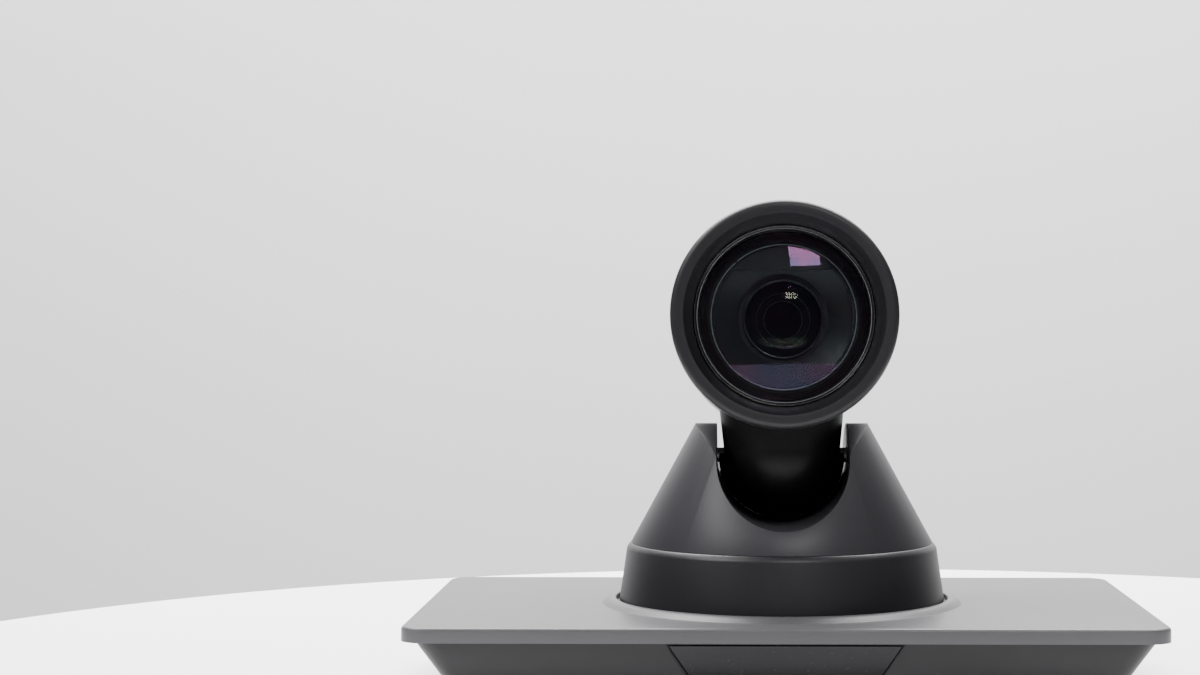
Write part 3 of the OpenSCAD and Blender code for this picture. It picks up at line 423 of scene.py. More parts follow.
def circuit(name):
    """Green solder mask over faint copper tracks."""
    finish = Finish(name)
    tracks = finish.node("ShaderNodeTexBrick", {"offset": 0.3}, {
        "Vector": finish.place(), "Scale": 260.0, "Mortar Size": 0.12}, "Fac")
    cloud = finish.noise(120.0, 2.0)
    colour = finish.blend(tracks * 0.6 + cloud * 0.2, (0.006, 0.05, 0.03, 1), (0.02, 0.14, 0.07, 1))
    normal = finish.bump(tracks, 0.03 * MM)
    return finish.done(finish.surface(Base_Color=colour, Roughness=0.35, Normal=normal))


steel_finish = metal("plated_steel", (0.6, 0.6, 0.62), 0.32)
cast_finish = metal("die_cast", (0.45, 0.45, 0.46), 0.5, 900.0)
brass_finish = metal("turned_brass", (0.7, 0.52, 0.24), 0.3)
aluminium_finish = metal("extruded_aluminium", (0.72, 0.72, 0.74), 0.38)
coat_finish = moulded("powder_coat", 0.02, 0.55, grain=0.06)
circuit_finish = circuit("solder_mask")
print(len(bpy.data.materials), "finishes so far")

# %% [markdown]
# ## Clear and coated parts
# The lens has a clear front element and darker ones behind it, each with a coating against
# stray light. A coated glass reflects only a few hundredths of the light, and what it does
# reflect is tinted: blue and pink in front, green and teal further in. So a glass is a clear
# surface with a small share of tinted mirror mixed in, and light doesn't bend in it.

# %% Glass finishes
def coated(name, tint, other_tint, clear, strength):
    """Clear glass with a coating. Its reflections run between two tints. clear is the colour that
    the glass gives to what is behind it, and strength is the share that it reflects."""
    finish = Finish(name)
    haze = finish.noise(90.0, 2.0)
    colour = finish.blend(haze, tint, other_tint)
    mirror = finish.surface(Base_Color=colour, Metallic=1.0, Roughness=0.03 + 0.02 * haze)
    through = finish.node("ShaderNodeBsdfTransparent", {}, {"Color": clear})
    share = strength * (0.8 + 0.4 * haze)
    return finish.done(finish.node("ShaderNodeMixShader", {}, {0: share, 1: through, 2: mirror}))


def smoked(name):
    """Dark polished acrylic that hides the lamps behind it."""
    finish = Finish(name)
    cloud = finish.noise(20.0, 3.0)
    scuffs = finish.noise(700.0, 4.0)
    colour = finish.blend(cloud, (0.006, 0.0057, 0.0075, 1), (0.009, 0.0085, 0.011, 1))
    gloss = 0.22 + 0.08 * scuffs
    return finish.done(finish.surface(
        Base_Color=colour, Roughness=gloss, Coat_Weight=0.1 * cloud, Specular_IOR_Level=0.25))


def anodised(name, level, roughness, tint, lines=21000.0, groove=0.004):
    """Turned metal, dyed dark, with the fine rings that the lathe leaves. lines sets how close
    the rings are, and groove is their depth in millimetres."""
    finish = Finish(name)
    spot = finish.node("ShaderNodeVectorMath", {"operation": "SUBTRACT"}, {0: finish.place(), 1: lens_middle})
    across = finish.node("ShaderNodeVectorMath", {"operation": "MULTIPLY"}, {0: spot, 1: (1.0, 0.0, 1.0)})
    away = finish.node("ShaderNodeVectorMath", {"operation": "LENGTH"}, {0: across}, "Value")
    rings = finish.node("ShaderNodeMath", {"operation": "SINE"}, {0: away * lines})
    cloud = finish.noise(80.0, 2.0)
    low = tuple(level * 0.85 * part for part in tint) + (1.0,)
    high = tuple(level * 1.15 * part for part in tint) + (1.0,)
    colour = finish.blend(cloud, low, high)
    normal = finish.bump(rings, groove * MM)
    shine = 0.5 + 0.2 * cloud
    gloss = roughness + 0.05 * rings
    return finish.done(finish.surface(Base_Color=colour, Metallic=shine, Roughness=gloss, Normal=normal))


lens_middle = tuple(on_barrel @ Vector((0, 0, 40 * MM)))
blue, pink, green = (0.02, 0.3, 0.6, 1), (0.7, 0.12, 0.3, 1), (0.05, 0.6, 0.2, 1)
rose, teal, sky = (0.6, 0.1, 0.3, 1), (0.02, 0.6, 0.55, 1), (0.1, 0.5, 0.7, 1)
front_glass_finish = coated("front_coating", blue, pink, (0.78, 0.8, 0.8, 1), 0.03)
inner_glass_finish = coated("inner_coating", green, rose, (0.6, 0.62, 0.62, 1), 0.05)
zoom_glass_finish = coated("zoom_coating", teal, sky, (0.5, 0.5, 0.55, 1), 0.05)
window_finish = smoked("smoked_window")
ring_finish = anodised("ring_anodising", 0.015, 0.3, (1.1, 1.0, 1.05))
cell_finish = anodised("cell_anodising", 0.05, 0.4, (0.9, 1.0, 0.97))
tube_finish = anodised("tube_anodising", 0.012, 0.42, (1.5, 0.9, 1.0), 7000.0, 0.03)
# Bright metal for thin rings in the lens: a painted highlight that makes the bright circles.
highlight_metal_finish = metal("painted_highlight_metal", (0.6, 0.62, 0.62), 0.3)
mask_finish = moulded("mask_coating", 0.012, 0.5)
print(len(bpy.data.materials), "finishes in all")


# %% Giving a piece its finish
def wear(piece, finish):
    """Gives piece one finish all over."""
    piece.data.materials.clear()
    piece.data.materials.append(finish)


def fit(piece, body, nodes, finish):
    """Finishes a modelled shell: it rides on body and stands for these nodes."""
    wear(piece, finish)
    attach(piece, body)
    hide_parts(*nodes)
    print(piece.name, "has", len(piece.data.polygons), "faces and stands for", ", ".join(nodes))


# %% [markdown]
# ## The base cover
# The cover is one moulding: a flat lid with a thick rim and a raised collar around the fork.
# It starts as a cube at its finished size. Its four upright corners are rounded first and
# the top edge second, so that the top round runs smoothly around the corners. Its underside
# is hollowed by a smaller block. The collar is turned on its own and joined on, because its
# slope would be hard to pull up from a flat lid.

# %% Base cover
def upright_edge(ends):
    return abs(ends[0].z - ends[1].z) > 1 * MM


def top_edge(ends):
    return min(ends[0].z, ends[1].z) > cover_top - 0.01 * MM


def rounded_block(name, width, depth, low, high, corner, matrix=upright):
    """A block centred on the Z axis with its upright corners rounded."""
    piece = block(name, (-width / 2, -depth / 2, low), (width / 2, depth / 2, high), matrix)
    round_edges(piece, upright_edge, corner, 10)
    return piece


wall = 2.5 * MM
cover = rounded_block("cover", cover_w, cover_d, rim_under, cover_top, 8)
round_edges(cover, top_edge, 1.1, 4)
hollow_w, hollow_d = shell_w - 2 * wall, shell_d - 2 * wall
combine(cover, rounded_block("hollow", hollow_w, hollow_d, rim_under - wall, cover_top - wall, 8))
collar_in = skirt_r / MM + 1.1
plate = cover_top / MM
inner_wall = around(collar_in, plate, [(0, -1), (0, 1.4)])
crest = arc(collar_in + 0.45, plate + 1.35, 0.45, 180, 90, 4)
fall = around(collar_in, plate, [(1.5, 1.8), (2.4, 1.55), (3.4, 0.95), (4.1, 0.4), (4.7, -0.02), (4.7, -1)])
collar = turned("collar", inner_wall + crest + fall, 180)
combine(cover, collar, "UNION")
screw_head_r, boss_r, pilot_r = 2.8, 3.5, 1.25
boss_foot, boss_head = 3.5 * MM, cover_top - wall + 0.2 * MM
pilot_foot, pilot_head = 2.5 * MM, 13.5 * MM
boss_x, boss_y = (Vector(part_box("base_screws")[1]) - Vector((screw_head_r, screw_head_r, 0)) * MM).xy
for side_x in (-1, 1):
    for side_y in (-1, 1):
        spot = Matrix.Translation((side_x * boss_x, side_y * boss_y, 0))
        combine(cover, rod("boss", boss_r * MM, boss_foot, boss_head, 32, spot), "UNION")
        combine(cover, rod("screw hole", pilot_r * MM, pilot_foot, pilot_head, 24, spot))
combine(cover, rod("spindle hole", 12 * MM, rim_under, cover_top + wall))
tidy_mesh(cover)
smooth(cover)
fit(cover, "base", ["base_cover"], cover_finish)

# %% [markdown]
# ## The base shell
# The shell's sides lean in as they go down, so the base seems to float. It starts as a cube
# whose bottom face is scaled down in edit mode, and a smaller copy of the same shape hollows
# it. The window's opening is cut square through the wall, then a shallow flared block cuts
# the polished slope that runs around it.

# %% Base shell
lean = math.atan(0.25)
on_wall = Matrix.Translation((0, -shell_d / 2, rim_under)) @ Matrix.Rotation(math.pi / 2 + lean, 4, "X")


def leaning(name, inset, low, high, corner):
    """A block that narrows downwards: its sides lean in, and its front and back lean less."""
    drop = rim_under - low
    rise = high - rim_under
    top_x, top_y = shell_w / 2 - inset + 0.7 * rise, shell_d / 2 - inset + 0.25 * rise
    foot_x, foot_y = shell_w / 2 - inset - 0.7 * drop, shell_d / 2 - inset - 0.25 * drop
    piece = block(name, (-top_x, -top_y, low), (top_x, top_y, high))
    pick(piece, lambda face: face.normal.z < -0.9, "FACE")
    bpy.ops.transform.resize(value=(foot_x / top_x, foot_y / top_y, 1), center_override=(0, 0, low))
    bpy.ops.object.mode_set(mode="OBJECT")
    round_edges(piece, upright_edge, corner, 8)
    return piece


def window_block(name, grow, low, high, flare=0.0):
    """A block in the shape of the front window, in the front wall's own frame, in millimetres."""
    half, head, foot, side_slope = 36.5, -1.2, -20.52, 0.6
    corner = Vector((half + grow, head + grow, high))
    piece = block(name, Vector((-corner.x, foot - grow, low)) * MM, corner * MM)
    pick(piece, lambda face: face.normal.y < -0.9, "FACE")
    narrow = (half + side_slope * foot + grow) / (half + grow)
    bpy.ops.transform.resize(value=(narrow, 1, 1), center_override=(0, 0, 0))
    bpy.ops.object.mode_set(mode="OBJECT")
    if flare:
        pick(piece, lambda face: face.normal.z > 0.9, "FACE")
        middle = (0, (head + foot) / 2 * MM, 0)
        stretch = (half + flare) / half, (head - foot + 1.2 * flare) / (head - foot), 1
        bpy.ops.transform.resize(value=stretch, center_override=middle)
        bpy.ops.object.mode_set(mode="OBJECT")
    place(piece, on_wall)
    return piece


shell = leaning("shell", 0, shell_foot, rim_under, 6)
combine(shell, leaning("shell hollow", wall, shell_foot - 1 * MM, rim_under + 1 * MM, 4))
combine(shell, window_block("window opening", 0.15, -8, 8))
combine(shell, window_block("window slope", 0.15, -0.55, 0.25, 2.0))
panel_high = Vector(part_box("rear_panel")[1])
opening_x = panel_high.x - 3 * MM
combine(shell, block("rear opening", (-opening_x, 0, 5.5 * MM), (opening_x, cover_d, rim_under - 3 * MM)))
tidy_mesh(shell)
soften(shell, 0.25, 2, 35)
smooth(shell)
fit(shell, "base", ["base_shell"], shell_finish)

# %% [markdown]
# ## The front window
# The window is a slab of smoked acrylic that sits half a millimetre back in the wall. Its
# edges are polished round, which gives it the thin bright outline.

# %% Front window
window = window_block("window", 0, -2.5, -0.5)
soften(window, 0.35, 3)
smooth(window)
fit(window, "base", ["front_window"], window_finish)

# %% [markdown]
# ## The skirt of the fork
# The skirt is turned. Its outline climbs with a slight draft, rounds over at the top and
# steps in to a narrow ledge, and the cone stands on the ledge with a fine joint between them.

# %% Fork skirt
skirt_foot_mm, ledge_mm, cone_mm, skirt_mm = skirt_foot / MM, ledge_z / MM, cone_r / MM, skirt_r / MM
shoulder_r, shoulder_z = skirt_mm - 2.6, ledge_mm - 1.3
deck = top_of("turntable") / MM
outside = [(skirt_mm - 2, skirt_foot_mm), (skirt_mm - 0.3, skirt_foot_mm), (skirt_mm, skirt_foot_mm + 0.3)]
shoulder = [(shoulder_r + 0.08, shoulder_z - 0.6), (shoulder_r - 0.05, shoulder_z - 0.2),
            (shoulder_r - 0.35, shoulder_z + 0.25)]
ledge = [(cone_mm + 0.35, ledge_mm - 0.2), (cone_mm + 0.05, ledge_mm), (cone_mm - 4, ledge_mm),
         (cone_mm - 4, ledge_mm - 1.6)]
web = [(shoulder_r - 2, ledge_mm - 4), (skirt_mm - 2.4, deck + 1.8), (skirt_mm - 10, deck + 1.8),
       (skirt_mm - 10, deck), (skirt_mm - 2.4, deck)]
skirt = turned("skirt", outside + shoulder + ledge + web, 180)
smooth(skirt, 40)
fit(skirt, "fork", ["fork_skirt"], skirt_finish)

# %% [markdown]
# ## The cone and its ears
# The cone carries the two ears. It is one shape before it is cut: a turned cone, trimmed by
# a large arc seen from the side. The channel for the head is cut with a U-shaped cutter that
# is drawn as half a disc and pulled up. A smaller copy of everything hollows it, and it is
# split into a front and a rear half, which is how it comes off its mould. Its edges are
# rounded last, because a cut through a bevel leaves slivers: first the wide soft round where
# the arc meets the cone, then the tight ones along the channel and the foot.

# %% Cone shapes
slope = 0.545
crown_r = 41.0
channel_r = 21.8
tilt_mm = tilt_axis.z / MM
crown_mid = ear_top / MM - crown_r
crown_foot = tilt_mm - 5
cone_wall, channel_wall = 2, 1.8
lip_near, lip_far, lip_drop = 10, 13, 6


def cone_radius(height, inset=0.0):
    """Radius of the cone at a height, in millimetres."""
    return cone_mm - inset - slope * (height - ledge_mm)


def crowned_cone(name, inset, foot):
    """The cone, trimmed by the arc of the ears and shrunk by inset."""
    head = ear_top / MM + 1
    sides = [(cone_radius(height, inset), height) for height in (foot, head)]
    piece = turned(name, sides, 144, closed=False)
    across = Matrix.Translation((0, 0, crown_mid * MM)) @ AXIS_X
    trim = block("trim", (-80 * MM, -80 * MM, crown_foot * MM), (80 * MM, 80 * MM, 120 * MM))
    combine(trim, rod("arc", (crown_r - inset) * MM, -90 * MM, 90 * MM, 144, across))
    combine(piece, trim)
    tidy_mesh(piece)
    return piece


def channel_cutter(name, radius):
    """A U-shaped block through the fork from front to back, open upwards. The radius is in millimetres."""
    bpy.ops.object.select_all(action="DESELECT")
    bpy.ops.mesh.primitive_circle_add(
        vertices=128, radius=radius * MM, fill_type="NGON",
        location=(0, -80 * MM, tilt_axis.z), rotation=(math.pi / 2, 0, 0))
    piece = named_new(name)
    place(piece, upright)
    only(piece)
    bpy.ops.object.mode_set(mode="EDIT")
    bpy.ops.mesh.select_all(action="SELECT")
    bpy.ops.mesh.bisect(plane_co=tilt_axis, plane_no=(0, 0, 1), clear_outer=True)
    bpy.ops.object.mode_set(mode="OBJECT")
    pick(piece, lambda ends: min(ends[0].z, ends[1].z) > tilt_axis.z - 0.01 * MM)
    bpy.ops.mesh.extrude_edges_move(TRANSFORM_OT_translate={"value": (0, 0, 60 * MM)})
    bpy.ops.mesh.select_all(action="SELECT")
    bpy.ops.mesh.extrude_region_move(TRANSFORM_OT_translate={"value": (0, 160 * MM, 0)})
    bpy.ops.object.mode_set(mode="OBJECT")
    tidy_mesh(piece)
    return piece


def on_crown(ends):
    """Whether an edge lies where the arc meets the cone."""
    for end in ends:
        along = math.hypot(end.x, end.y) / MM
        over = math.hypot(end.y, end.z - crown_mid * MM) / MM
        off_cone = abs(along - cone_radius(end.z / MM))
        if end.z < ear_top - 9 * MM or off_cone > 0.1 or abs(over - crown_r) > 0.1:
            return False
    return True


def channel_edge(ends):
    """Whether an edge lies on the channel's wall and on the outside of the cone."""
    for end in ends:
        rise = max(0.0, tilt_axis.z - end.z)
        wall_gap = math.hypot(end.x, rise) / MM - channel_r
        outside = math.hypot(end.x, end.y) / MM > cone_radius(end.z / MM) - 1.2
        crest = math.hypot(end.y, end.z - crown_mid * MM) / MM > crown_r - 0.3
        if abs(wall_gap) > 0.05 or not (outside or crest):
            return False
    return True


def foot_edge(ends):
    """Whether an edge lies around the outside of the cone's foot."""
    return all(end.z < ledge_z + 0.01 * MM and end.xy.length > cone_r - 0.5 * MM for end in ends)


cone = crowned_cone("cone", 0, ledge_mm)
combine(cone, channel_cutter("channel", channel_r))
inside = crowned_cone("cone inside", cone_wall, ledge_mm - 1)
combine(inside, channel_cutter("channel inside", channel_r + channel_wall))
combine(cone, inside)
axle_way = Matrix.Translation((0, 0, tilt_axis.z)) @ AXIS_X
combine(cone, rod("axle hole", 3.3 * MM, -25 * MM, 25 * MM, 48, axle_way))
tidy_mesh(cone)
print("cone before splitting:", len(cone.data.polygons), "faces")

# %% Cone halves
for name, side in (("front", -1), ("rear", 1)):
    only(cone)
    bpy.ops.object.duplicate()
    half = bpy.context.object
    half.name = "cone_cover_" + name
    half.data.name = half.name
    other_side = sorted((0.0, -side * 90 * MM))
    combine(half, block("other side", (-90 * MM, other_side[0], 0), (90 * MM, other_side[1], 120 * MM)))
    tidy_mesh(half)
    round_edges(half, on_crown, 1.8, 5)
    round_edges(half, channel_edge, 0.4, 3)
    round_edges(half, foot_edge, 0.3, 2)
    if side > 0:
        lip_way = Matrix.Translation((0, 0, tilt_axis.z)) @ AXIS_Y
        lip_r = channel_r + channel_wall / 2
        lip = rod("dust lip", lip_r * MM, -lip_far * MM, -lip_near * MM, 128, lip_way)
        lip_top = tilt_axis.z - lip_drop * MM
        combine(lip, block("above the lip", (-0.05, 0, lip_top), (0.05, 0.05, lip_top + 36 * MM)))
        at_axis = Matrix.Translation(tilt_axis)
        combine(lip, turned("ball room", arc(0, 0, channel_r, -88, 88, 60), 128, at_axis, closed=False))
        combine(half, lip, "UNION")
    tidy_mesh(half)
    smooth(half, 30)
    fit(half, "fork", ["cone_" + name], cone_finish)
bpy.data.objects.remove(cone)

# %% [markdown]
# ## The neck and the ball
# The head stands on a flat-sided neck that grows out of a ball, and the ball fills the
# channel between the ears. Both are made whole and joined, then a copy that is smaller all
# round hollows them. A cylinder the size of the barrel trims the top, so the neck meets the
# barrel without a gap.

# %% Neck and ball
ball_mm = channel_r - 0.5
neck_half = ball_mm - 2.1
neck_flare = 0.12
neck_foot = 0.6


def neck_corner(ends):
    """Whether an edge is one of the long corners between the neck's flat and round sides."""
    off_side = [abs(abs(end.x) - neck_half * MM - neck_flare * end.z) for end in ends]
    return max(off_side) < 0.02 * MM and abs(ends[0].z - ends[1].z) > 5 * MM


def neck_solid(name, inset):
    """The ball and the neck as one solid, shrunk by inset, around the head's tilt axis."""
    foot = neck_foot - 2 * inset
    radius = ball_mm - inset
    ball_top = math.degrees(math.asin(neck_foot / radius))
    ball = turned(name, arc(0, 0, radius, -88, ball_top, 40), 128, closed=False)
    reach = neck_foot + 2 * inset if inset else 0
    tall = barrel_rise / MM + reach
    neck = turned("neck", [(ball_mm - 0.3 - inset, foot), (ball_mm - 0.3 - inset, tall)], 128, closed=False)
    half = neck_half - inset
    sides = block("sides", (-half * MM, -0.05, (foot - 1) * MM), (half * MM, 0.05, (tall + 1) * MM))
    pick(sides, lambda face: face.normal.z > 0.9, "FACE")
    flare = (half + neck_flare * tall) / half
    bpy.ops.transform.resize(value=(flare, 1, 1), center_override=(0, 0, 0))
    bpy.ops.object.mode_set(mode="OBJECT")
    combine(neck, sides, "INTERSECT")
    if not inset:
        round_edges(neck, neck_corner, 1.5, 4)
    combine(ball, neck, "UNION")
    tidy_mesh(ball)
    return ball


neck = neck_solid("neck_and_ball", 0)
combine(neck, neck_solid("neck inside", 2))
barrel_way = Matrix.Translation((0, 0, barrel_rise)) @ AXIS_Y
combine(neck, rod("barrel room", barrel_r, -0.1, 0.1, 180, barrel_way))
combine(neck, rod("axle room", 3.1 * MM, -0.03, 0.03, 48, AXIS_X))
tidy_mesh(neck)
place(neck, in_head)
smooth(neck, 30)
fit(neck, "head", ["neck_shell"], neck_finish)

# %% [markdown]
# ## The barrel
# The barrel is three turned mouldings: the front bezel, the tube and the rear cap. Their
# outlines have a small round wherever two of them meet, which is what makes a joint between
# two mouldings visible. The cap is slotted for air and has the heads of four screws.

# %% Front bezel
front, barrel_mm, bezel_mm = 60.0, barrel_r / MM, bezel_r / MM
mouth_r, bore_r, ring_face = bezel_mm - 4.5, bezel_mm - 7.1, front - 8
seat_r = barrel_mm - 2.2
behind = [(bore_r, ring_face - 8), (seat_r, ring_face - 8), (seat_r, front - 12)]
side = around(bezel_mm, front, [(-0.4, -12), (-0.1, -11.9), (0, -11.6)])
edge = arc(bezel_mm - 2, front - 2, 2, 0, 90, 8)
mouth = around(mouth_r, front, [(0.7, 0), (0.3, -0.1), (0.02, -0.5)]) + [(bore_r, ring_face)]
bezel = turned("bezel", behind + side + edge + mouth, 192, on_barrel)
smooth(bezel, 35)
fit(bezel, "head", ["front_bezel"], head_finish)

# %% Barrel tube
rear_end = [(barrel_mm - 2, -40), (barrel_mm - 0.3, -40), (barrel_mm, -39.7)]
front_end = around(barrel_mm, front - 12, [(0, -0.25), (-0.25, 0), (-2, 0)])
tube = turned("barrel_tube", rear_end + front_end, 192)
place(tube, on_barrel)
neck_room = rod("neck room", 18 * MM, 0, barrel_rise, 96, in_head)
combine(tube, neck_room)
tidy_mesh(tube)
smooth(tube, 35)
fit(tube, "head", ["barrel_shell"], head_finish)

# %% Rear cap
cap_foot = -40.0
round_r = 11.0
outer_mid = barrel_mm - round_r
cap_back = arc(outer_mid, cap_foot - 1, round_r, -90, 0, 14)
cap_rim = around(barrel_mm, cap_foot, [(0, -0.25), (-0.25, 0), (-2.2, 0), (-2.2, 4), (-4.2, 4)])
cap_inside = arc(barrel_mm - 2.2 - round_r, cap_foot + 0.8, round_r - 0.2, 0, -90, 10)
cap = turned("rear_cap_moulding", cap_back + cap_rim + cap_inside, 192, closed=False)
vent_l, vent_w, vent_pitch, rows_each_way = 26, 1.8, 3.6, 3
for row in range(-rows_each_way, rows_each_way + 1):
    low = Vector((-vent_l / 2, vent_pitch * row - vent_w / 2, cap_foot - 13)) * MM
    slot_block = block("vent", low, low + Vector((vent_l, vent_w, 4)) * MM)
    round_edges(slot_block, upright_edge, 0.85, 4)
    combine(cap, slot_block)
screw_out = 14 * MM
for side_x in (-1, 1):
    for side_y in (-1, 1):
        spot = Matrix.Translation((side_x * screw_out, side_y * screw_out, 0))
        combine(cap, rod("screw way", pilot_r * MM, (cap_foot - 13) * MM, (cap_foot - 9) * MM, 24, spot))
tidy_mesh(cap)
place(cap, on_barrel)
smooth(cap, 30)
fit(cap, "head", ["rear_cap"], head_finish)

# %% [markdown]
# ## The lens ring
# A thin ring holds the front glass. Two fine ridges run around its mouth with a groove between
# them. Their fronts get bright metal, a painted highlight that makes the bright circles around the lens.

# %% Lens ring
def near_ring(face, places, reach=0.16):
    """Whether a turned face lies at one of these radii, in millimetres."""
    away = math.hypot(face.center.x, face.center.y) / MM
    return any(abs(away - radius) < reach for radius in places)


def paint_highlight_rings(piece, finish, places):
    """Gives a turned piece a finish, with bright metal as a painted highlight on the front of the thin rings
    at these radii.
    """
    piece.data.materials.append(finish)
    piece.data.materials.append(highlight_metal_finish)
    pick(piece, lambda face: near_ring(face, places) and face.normal.z > 0.3, "FACE")
    piece.active_material_index = 1
    bpy.ops.object.material_slot_assign()
    bpy.ops.object.mode_set(mode="OBJECT")


def seat(piece, body, node):
    """Sets a piece that has its finishes on its body, in place of a node."""
    place(piece, on_barrel)
    smooth(piece, 25)
    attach(piece, body)
    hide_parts(node)
    print(piece.name, "has", len(piece.data.polygons), "faces and", len(piece.data.materials), "finishes")


glass_r = 27.4
ring_r = bore_r - 0.3
glass_back = ring_face - 8
ring_back = [(glass_r + 0.2, glass_back), (ring_r, glass_back)]
ridges = [(0, -0.35), (-0.12, -0.08), (-0.3, 0), (-0.5, -0.1), (-0.62, -0.45), (-0.85, -0.6), (-1, -0.35),
          (-1.18, -0.35), (-1.35, -0.7)]
glass_seat = [(glass_r, ring_face - 1.2), (glass_r, glass_back + 2), (glass_r + 0.2, glass_back + 2)]
ring = turned("lens_ring_turned", ring_back + around(ring_r, ring_face, ridges) + glass_seat, 192)
# Bright metal on the fronts of both ridges: painted highlight circles.
paint_highlight_rings(ring, ring_finish, (ring_r - 0.2, ring_r - 1.1))
seat(ring, "head", "lens_ring")

# %% [markdown]
# ## The front glass
# A glass is turned from the outline of a real element: two arcs and a rim. A scaled sphere
# would give a dome too, but not one with a stated radius and a hollow back. The arc stops
# just short of the axis, and a pole closes it, so that no two points fall together.

# %% Front glass
def dome(height, bulge, radius, steps, inner=0.6):
    """Points on a dome with its top at height, from near its middle out to radius."""
    spread = [inner + (radius - inner) * i / steps for i in range(steps + 1)]
    return [(r, height - bulge + math.sqrt(bulge * bulge - r * r)) for r in spread]


rim = around(glass_r, glass_back, [(-0.1, 2), (0.2, 2), (0.2, 0)])
hollow = list(reversed(dome(glass_back + 1.5, 45, 11.5, 8)))
glass = turned("front_element", dome(ring_face, 75, glass_r - 0.1, 20) + rim + hollow, 128, closed=False)
place(glass, on_barrel)
smooth(glass, 30)
fit(glass, "head", ["front_glass"], front_glass_finish)

# %% [markdown]
# ## The picture mask
# Behind the front glass a black mask hides all that the sensor doesn't see. It is a turned
# plate with a round hole that is flattened above and below. The hole is made as one cutter, a
# rod trimmed by a block, because two cuts in the thin plate would leave slivers where they meet.

# %% Picture mask
mask_r, mask_half_h, tube_in = 22.2, 15.4, 24.5
mask_face = glass_back - 0.4
mask_front = [(-3, 0), (0.55, 0), (0.75, -0.4), (0.9, -0.4), (1, 0.3), (1.4, 0.3), (1.6, -0.2)]
mask_side = [(tube_in, mask_face - 0.2), (tube_in, glass_back - 3)]
mask = turned("mask", around(mask_r, mask_face, mask_front) + mask_side, 160, closed=False)
mask_hole = rod("mask hole", mask_r * MM, (glass_back - 6) * MM, (glass_back + 3) * MM, 160)
gate = Vector((40, mask_half_h, 0)) * MM
level = Vector((0, 0, glass_back)) * MM
depth = Vector((0, 0, 8)) * MM
combine(mask_hole, block("gate", level - gate - depth, level + gate + depth), "INTERSECT")
combine(mask, mask_hole)
tidy_mesh(mask)
# Bright metal on the front of the mask's raised step: a painted highlight circle.
paint_highlight_rings(mask, mask_finish, (mask_r + 1.2,))
seat(mask, "head", "picture_mask")

# %% [markdown]
# ## The front cell
# The cell slopes down to the second element like a funnel. A black retainer holds the element,
# and behind it are the steps of the iris. All of it is one turned outline. Finishes tell the
# parts apart, and bright metal on two iris steps is a painted highlight. Each finish belongs to the faces
# between two radii, so it is given by picking them.

# %% Front cell
cell_front, cell_back = ring_face - 11.1, ring_face - 24
inner_r, iris_r = 12.4, 6.1
cell_body = [(iris_r, cell_back), (tube_in, cell_back), (tube_in, cell_front), (mask_r, cell_front)]
retainer = [(2.35, -5.8), (2.2, -6.4), (0.75, -6.5), (0.6, -5.6), (0.35, -5.6), (0.3, -6.5), (0, -6.6)]
iris = [(2.9, 0.5), (2.8, 0.8), (2.6, 0.8), (2.5, 0.4), (0.4, 0.4), (0.3, 0.8), (0.05, 0.8), (0, 0.6)]
cell = turned("front_cell_turned", cell_body + around(inner_r, cell_front, retainer)
              + [(inner_r, cell_back + 0.8)] + around(iris_r, cell_back, iris), 160)
# Bright metal on the fronts of two iris steps: painted highlight circles.
paint_highlight_rings(cell, cell_finish, (iris_r + 2.7, iris_r + 0.17))
cell.data.materials.append(mask_finish)
pick(cell, lambda face: near_ring(face, (inner_r + 1.4,), 1), "FACE")
cell.active_material_index = 2
bpy.ops.object.material_slot_assign()
bpy.ops.object.mode_set(mode="OBJECT")
seat(cell, "head", "front_cell")

# %% [markdown]
# ## The second element
# The second element bulges more than the front glass and fills the cell's bore. Only its
# front is ever seen, so its back is left flat.

# %% Second element
element_top = cell_front - 4.6
element_r = inner_r - 0.02
element_front = dome(element_top, 30, element_r, 12)
element = turned("second_element", element_front + [(element_r, cell_back + 1)], closed=False)
place(element, on_barrel)
smooth(element, 30)
fit(element, "head", ["inner_glass"], inner_glass_finish)

# %% [markdown]
# ## Parts that keep their mechanical shape
# Ports, screws, feet, boards, motors and gears already have their real shape, so each keeps
# its mesh and only gets a finish. Machined and moulded parts have their sharp edges broken
# by a small bevel, which catches the light as real edges do.

# %% Finishes for the mechanical parts
finish_of = {
    "rear_panel": shell_finish, "bottom_plate": coat_finish, "rubber_feet": rubber_finish,
    "tripod_insert": brass_finish, "base_screws": steel_finish, "cap_screws": coat_finish,
    "indicator_board": circuit_finish, "main_board": circuit_finish, "driver_board": circuit_finish,
    "sensor_board": circuit_finish, "head_board": circuit_finish, "heat_sink": aluminium_finish,
    "power_jack": port_finish, "serial_ports": port_finish, "audio_jack": port_finish,
    "hdmi_port": steel_finish, "usb_port": steel_finish, "lan_port": steel_finish,
    "pan_frame": cast_finish, "turntable": cast_finish, "tilt_frame": cast_finish,
    "trunnion_frame": cast_finish, "motor_bracket": steel_finish, "pan_motor": steel_finish,
    "tilt_motor": steel_finish, "zoom_motor": steel_finish, "focus_motor": steel_finish,
    "pan_bearing_outer": steel_finish, "pan_bearing_inner": steel_finish, "pan_bearing_balls": steel_finish,
    "tilt_bearings": steel_finish, "spindle_nut": steel_finish, "fork_screws": steel_finish,
    "guide_rods": steel_finish, "board_spacers": brass_finish, "pan_gear": gear_finish,
    "tilt_gear": gear_finish, "pan_pinion": gear_finish, "tilt_pinion": gear_finish,
    "lens_tube": tube_finish, "zoom_carriage": tube_finish,
    "focus_carriage": tube_finish, "zoom_glass": zoom_glass_finish, "focus_glass": zoom_glass_finish,
}
broken_edges = ("rear_panel", "power_jack", "hdmi_port", "usb_port", "lan_port", "serial_ports", "audio_jack",
                "bottom_plate", "rubber_feet", "heat_sink")
for node, finish in finish_of.items():
    wear(frame["nodes"][node], finish)
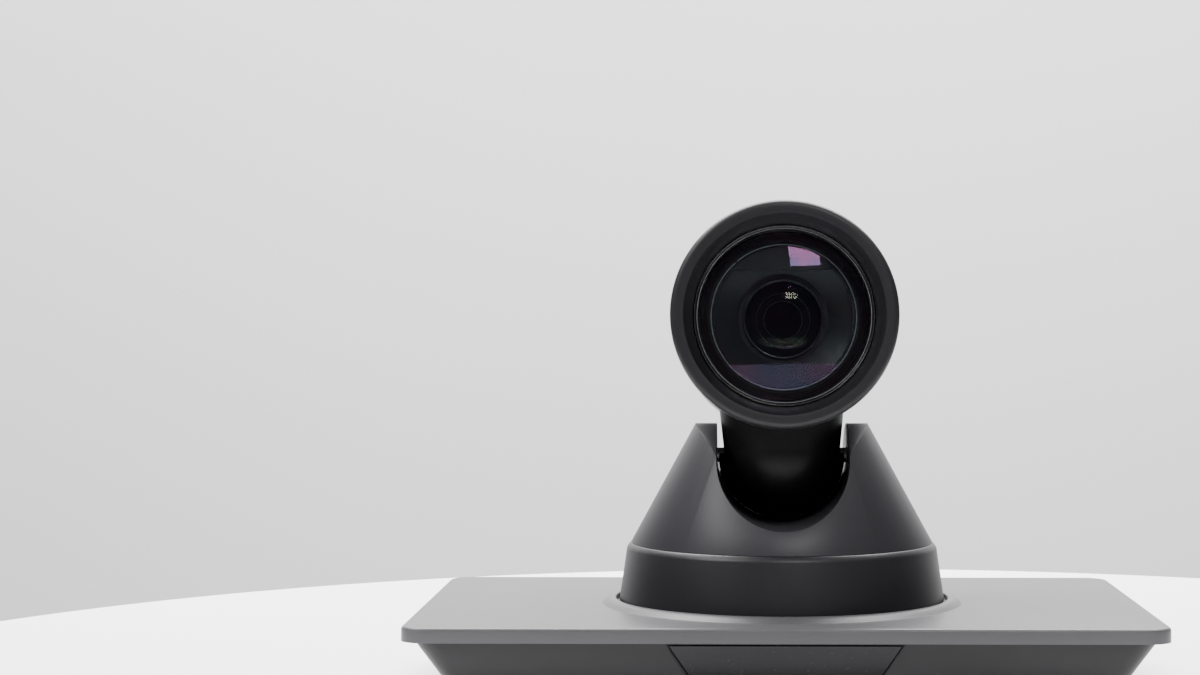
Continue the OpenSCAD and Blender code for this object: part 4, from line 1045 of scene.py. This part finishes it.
for node in broken_edges:
    edge = frame["nodes"][node].modifiers.new("broken edge", "BEVEL")
    edge.width = 0.15 * MM
    edge.segments = 2
    edge.limit_method = "ANGLE"
    edge.angle_limit = math.radians(50)
print("finished", len(finish_of), "mechanical parts")

# %% [markdown]
# ## The set
# The camera stands on a round white table in front of a plain pale wall. The table ends
# behind the base in a soft curve, because it is round. The main light is a large soft panel
# above and to the left, with a weak one on the right. A small panel above the viewer is there
# to be mirrored in the lens, and two more light the table and the wall from behind.

# %% Table and wall
def painted(name, level, roughness):
    """Matt paint with a barely visible unevenness."""
    finish = Finish(name)
    cloud = finish.noise(3.0, 3.0)
    grain = finish.noise(900.0, 2.0)
    colour = finish.blend(cloud, grey(level * 0.98), grey(level * 1.02))
    normal = finish.bump(grain, 0.01 * MM)
    return finish.done(finish.surface(Base_Color=colour, Roughness=roughness + 0.05 * grain, Normal=normal))


table = rod("table", 0.4, -0.03, 0, 256, Matrix.Translation((0.03, -0.02, 0)))
soften(table, 1.5, 4)
smooth(table)
wear(table, painted("table_lacquer", 0.88, 0.5))
bpy.ops.mesh.primitive_plane_add(size=6, location=(0, 1.6, 0.8), rotation=(math.pi / 2, 0, 0))
backdrop = named_new("wall")
wear(backdrop, painted("wall_paint", 0.74, 0.8))
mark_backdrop(table, backdrop)

# %% Lights
def panel(name, spot, aim, width, height, watts):
    """A soft rectangular lamp at spot, turned to face aim."""
    bpy.ops.object.light_add(type="AREA", location=spot)
    lamp = bpy.context.object
    lamp.name = name
    lamp.data.shape = "RECTANGLE"
    lamp.data.size, lamp.data.size_y = width, height
    lamp.data.energy = watts
    lamp.rotation_euler = (Vector(aim) - Vector(spot)).to_track_quat("-Z", "Y").to_euler()
    lamp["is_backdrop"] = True
    return lamp


panel("key light", (-0.85, -0.5, 1.0), (0, 0, 0.08), 0.6, 0.6, 15)
panel("lens light", (0.19, -0.77, 0.77), (0, 0, 0.13), 0.26, 0.22, 5)
panel("right light", (0.9, -0.5, 0.7), (0, 0, 0.06), 0.5, 0.6, 0.6)
panel("table light", (-0.1, 0.5, 0.9), (0.02, 0.15, 0), 1.2, 0.5, 29)
panel("wall light", (0, 0.7, 1.7), (0, 1.6, 0.1), 2.4, 0.6, 160)
world = bpy.context.scene.world or bpy.data.worlds.new("room")
bpy.context.scene.world = world
world.use_nodes = True
world.node_tree.nodes["Background"].inputs["Color"].default_value = (0.9, 0.95, 1.0, 1)
world.node_tree.nodes["Background"].inputs["Strength"].default_value = 0.2

# %% Camera
bpy.ops.object.camera_add(location=(-0.015, -0.8105, 0.1284), rotation=(math.pi / 2, 0, math.radians(0.77)))
camera = bpy.context.object
camera.name = "camera"
camera.data.lens = 71.8
camera.data.sensor_width = 36
camera.data.shift_x, camera.data.shift_y = -0.0875, -0.0229
bpy.context.scene.camera = camera

# %% Finish
low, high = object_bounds()
print("all pieces are within", [round(v, 4) for v in low], [round(v, 4) for v in high])
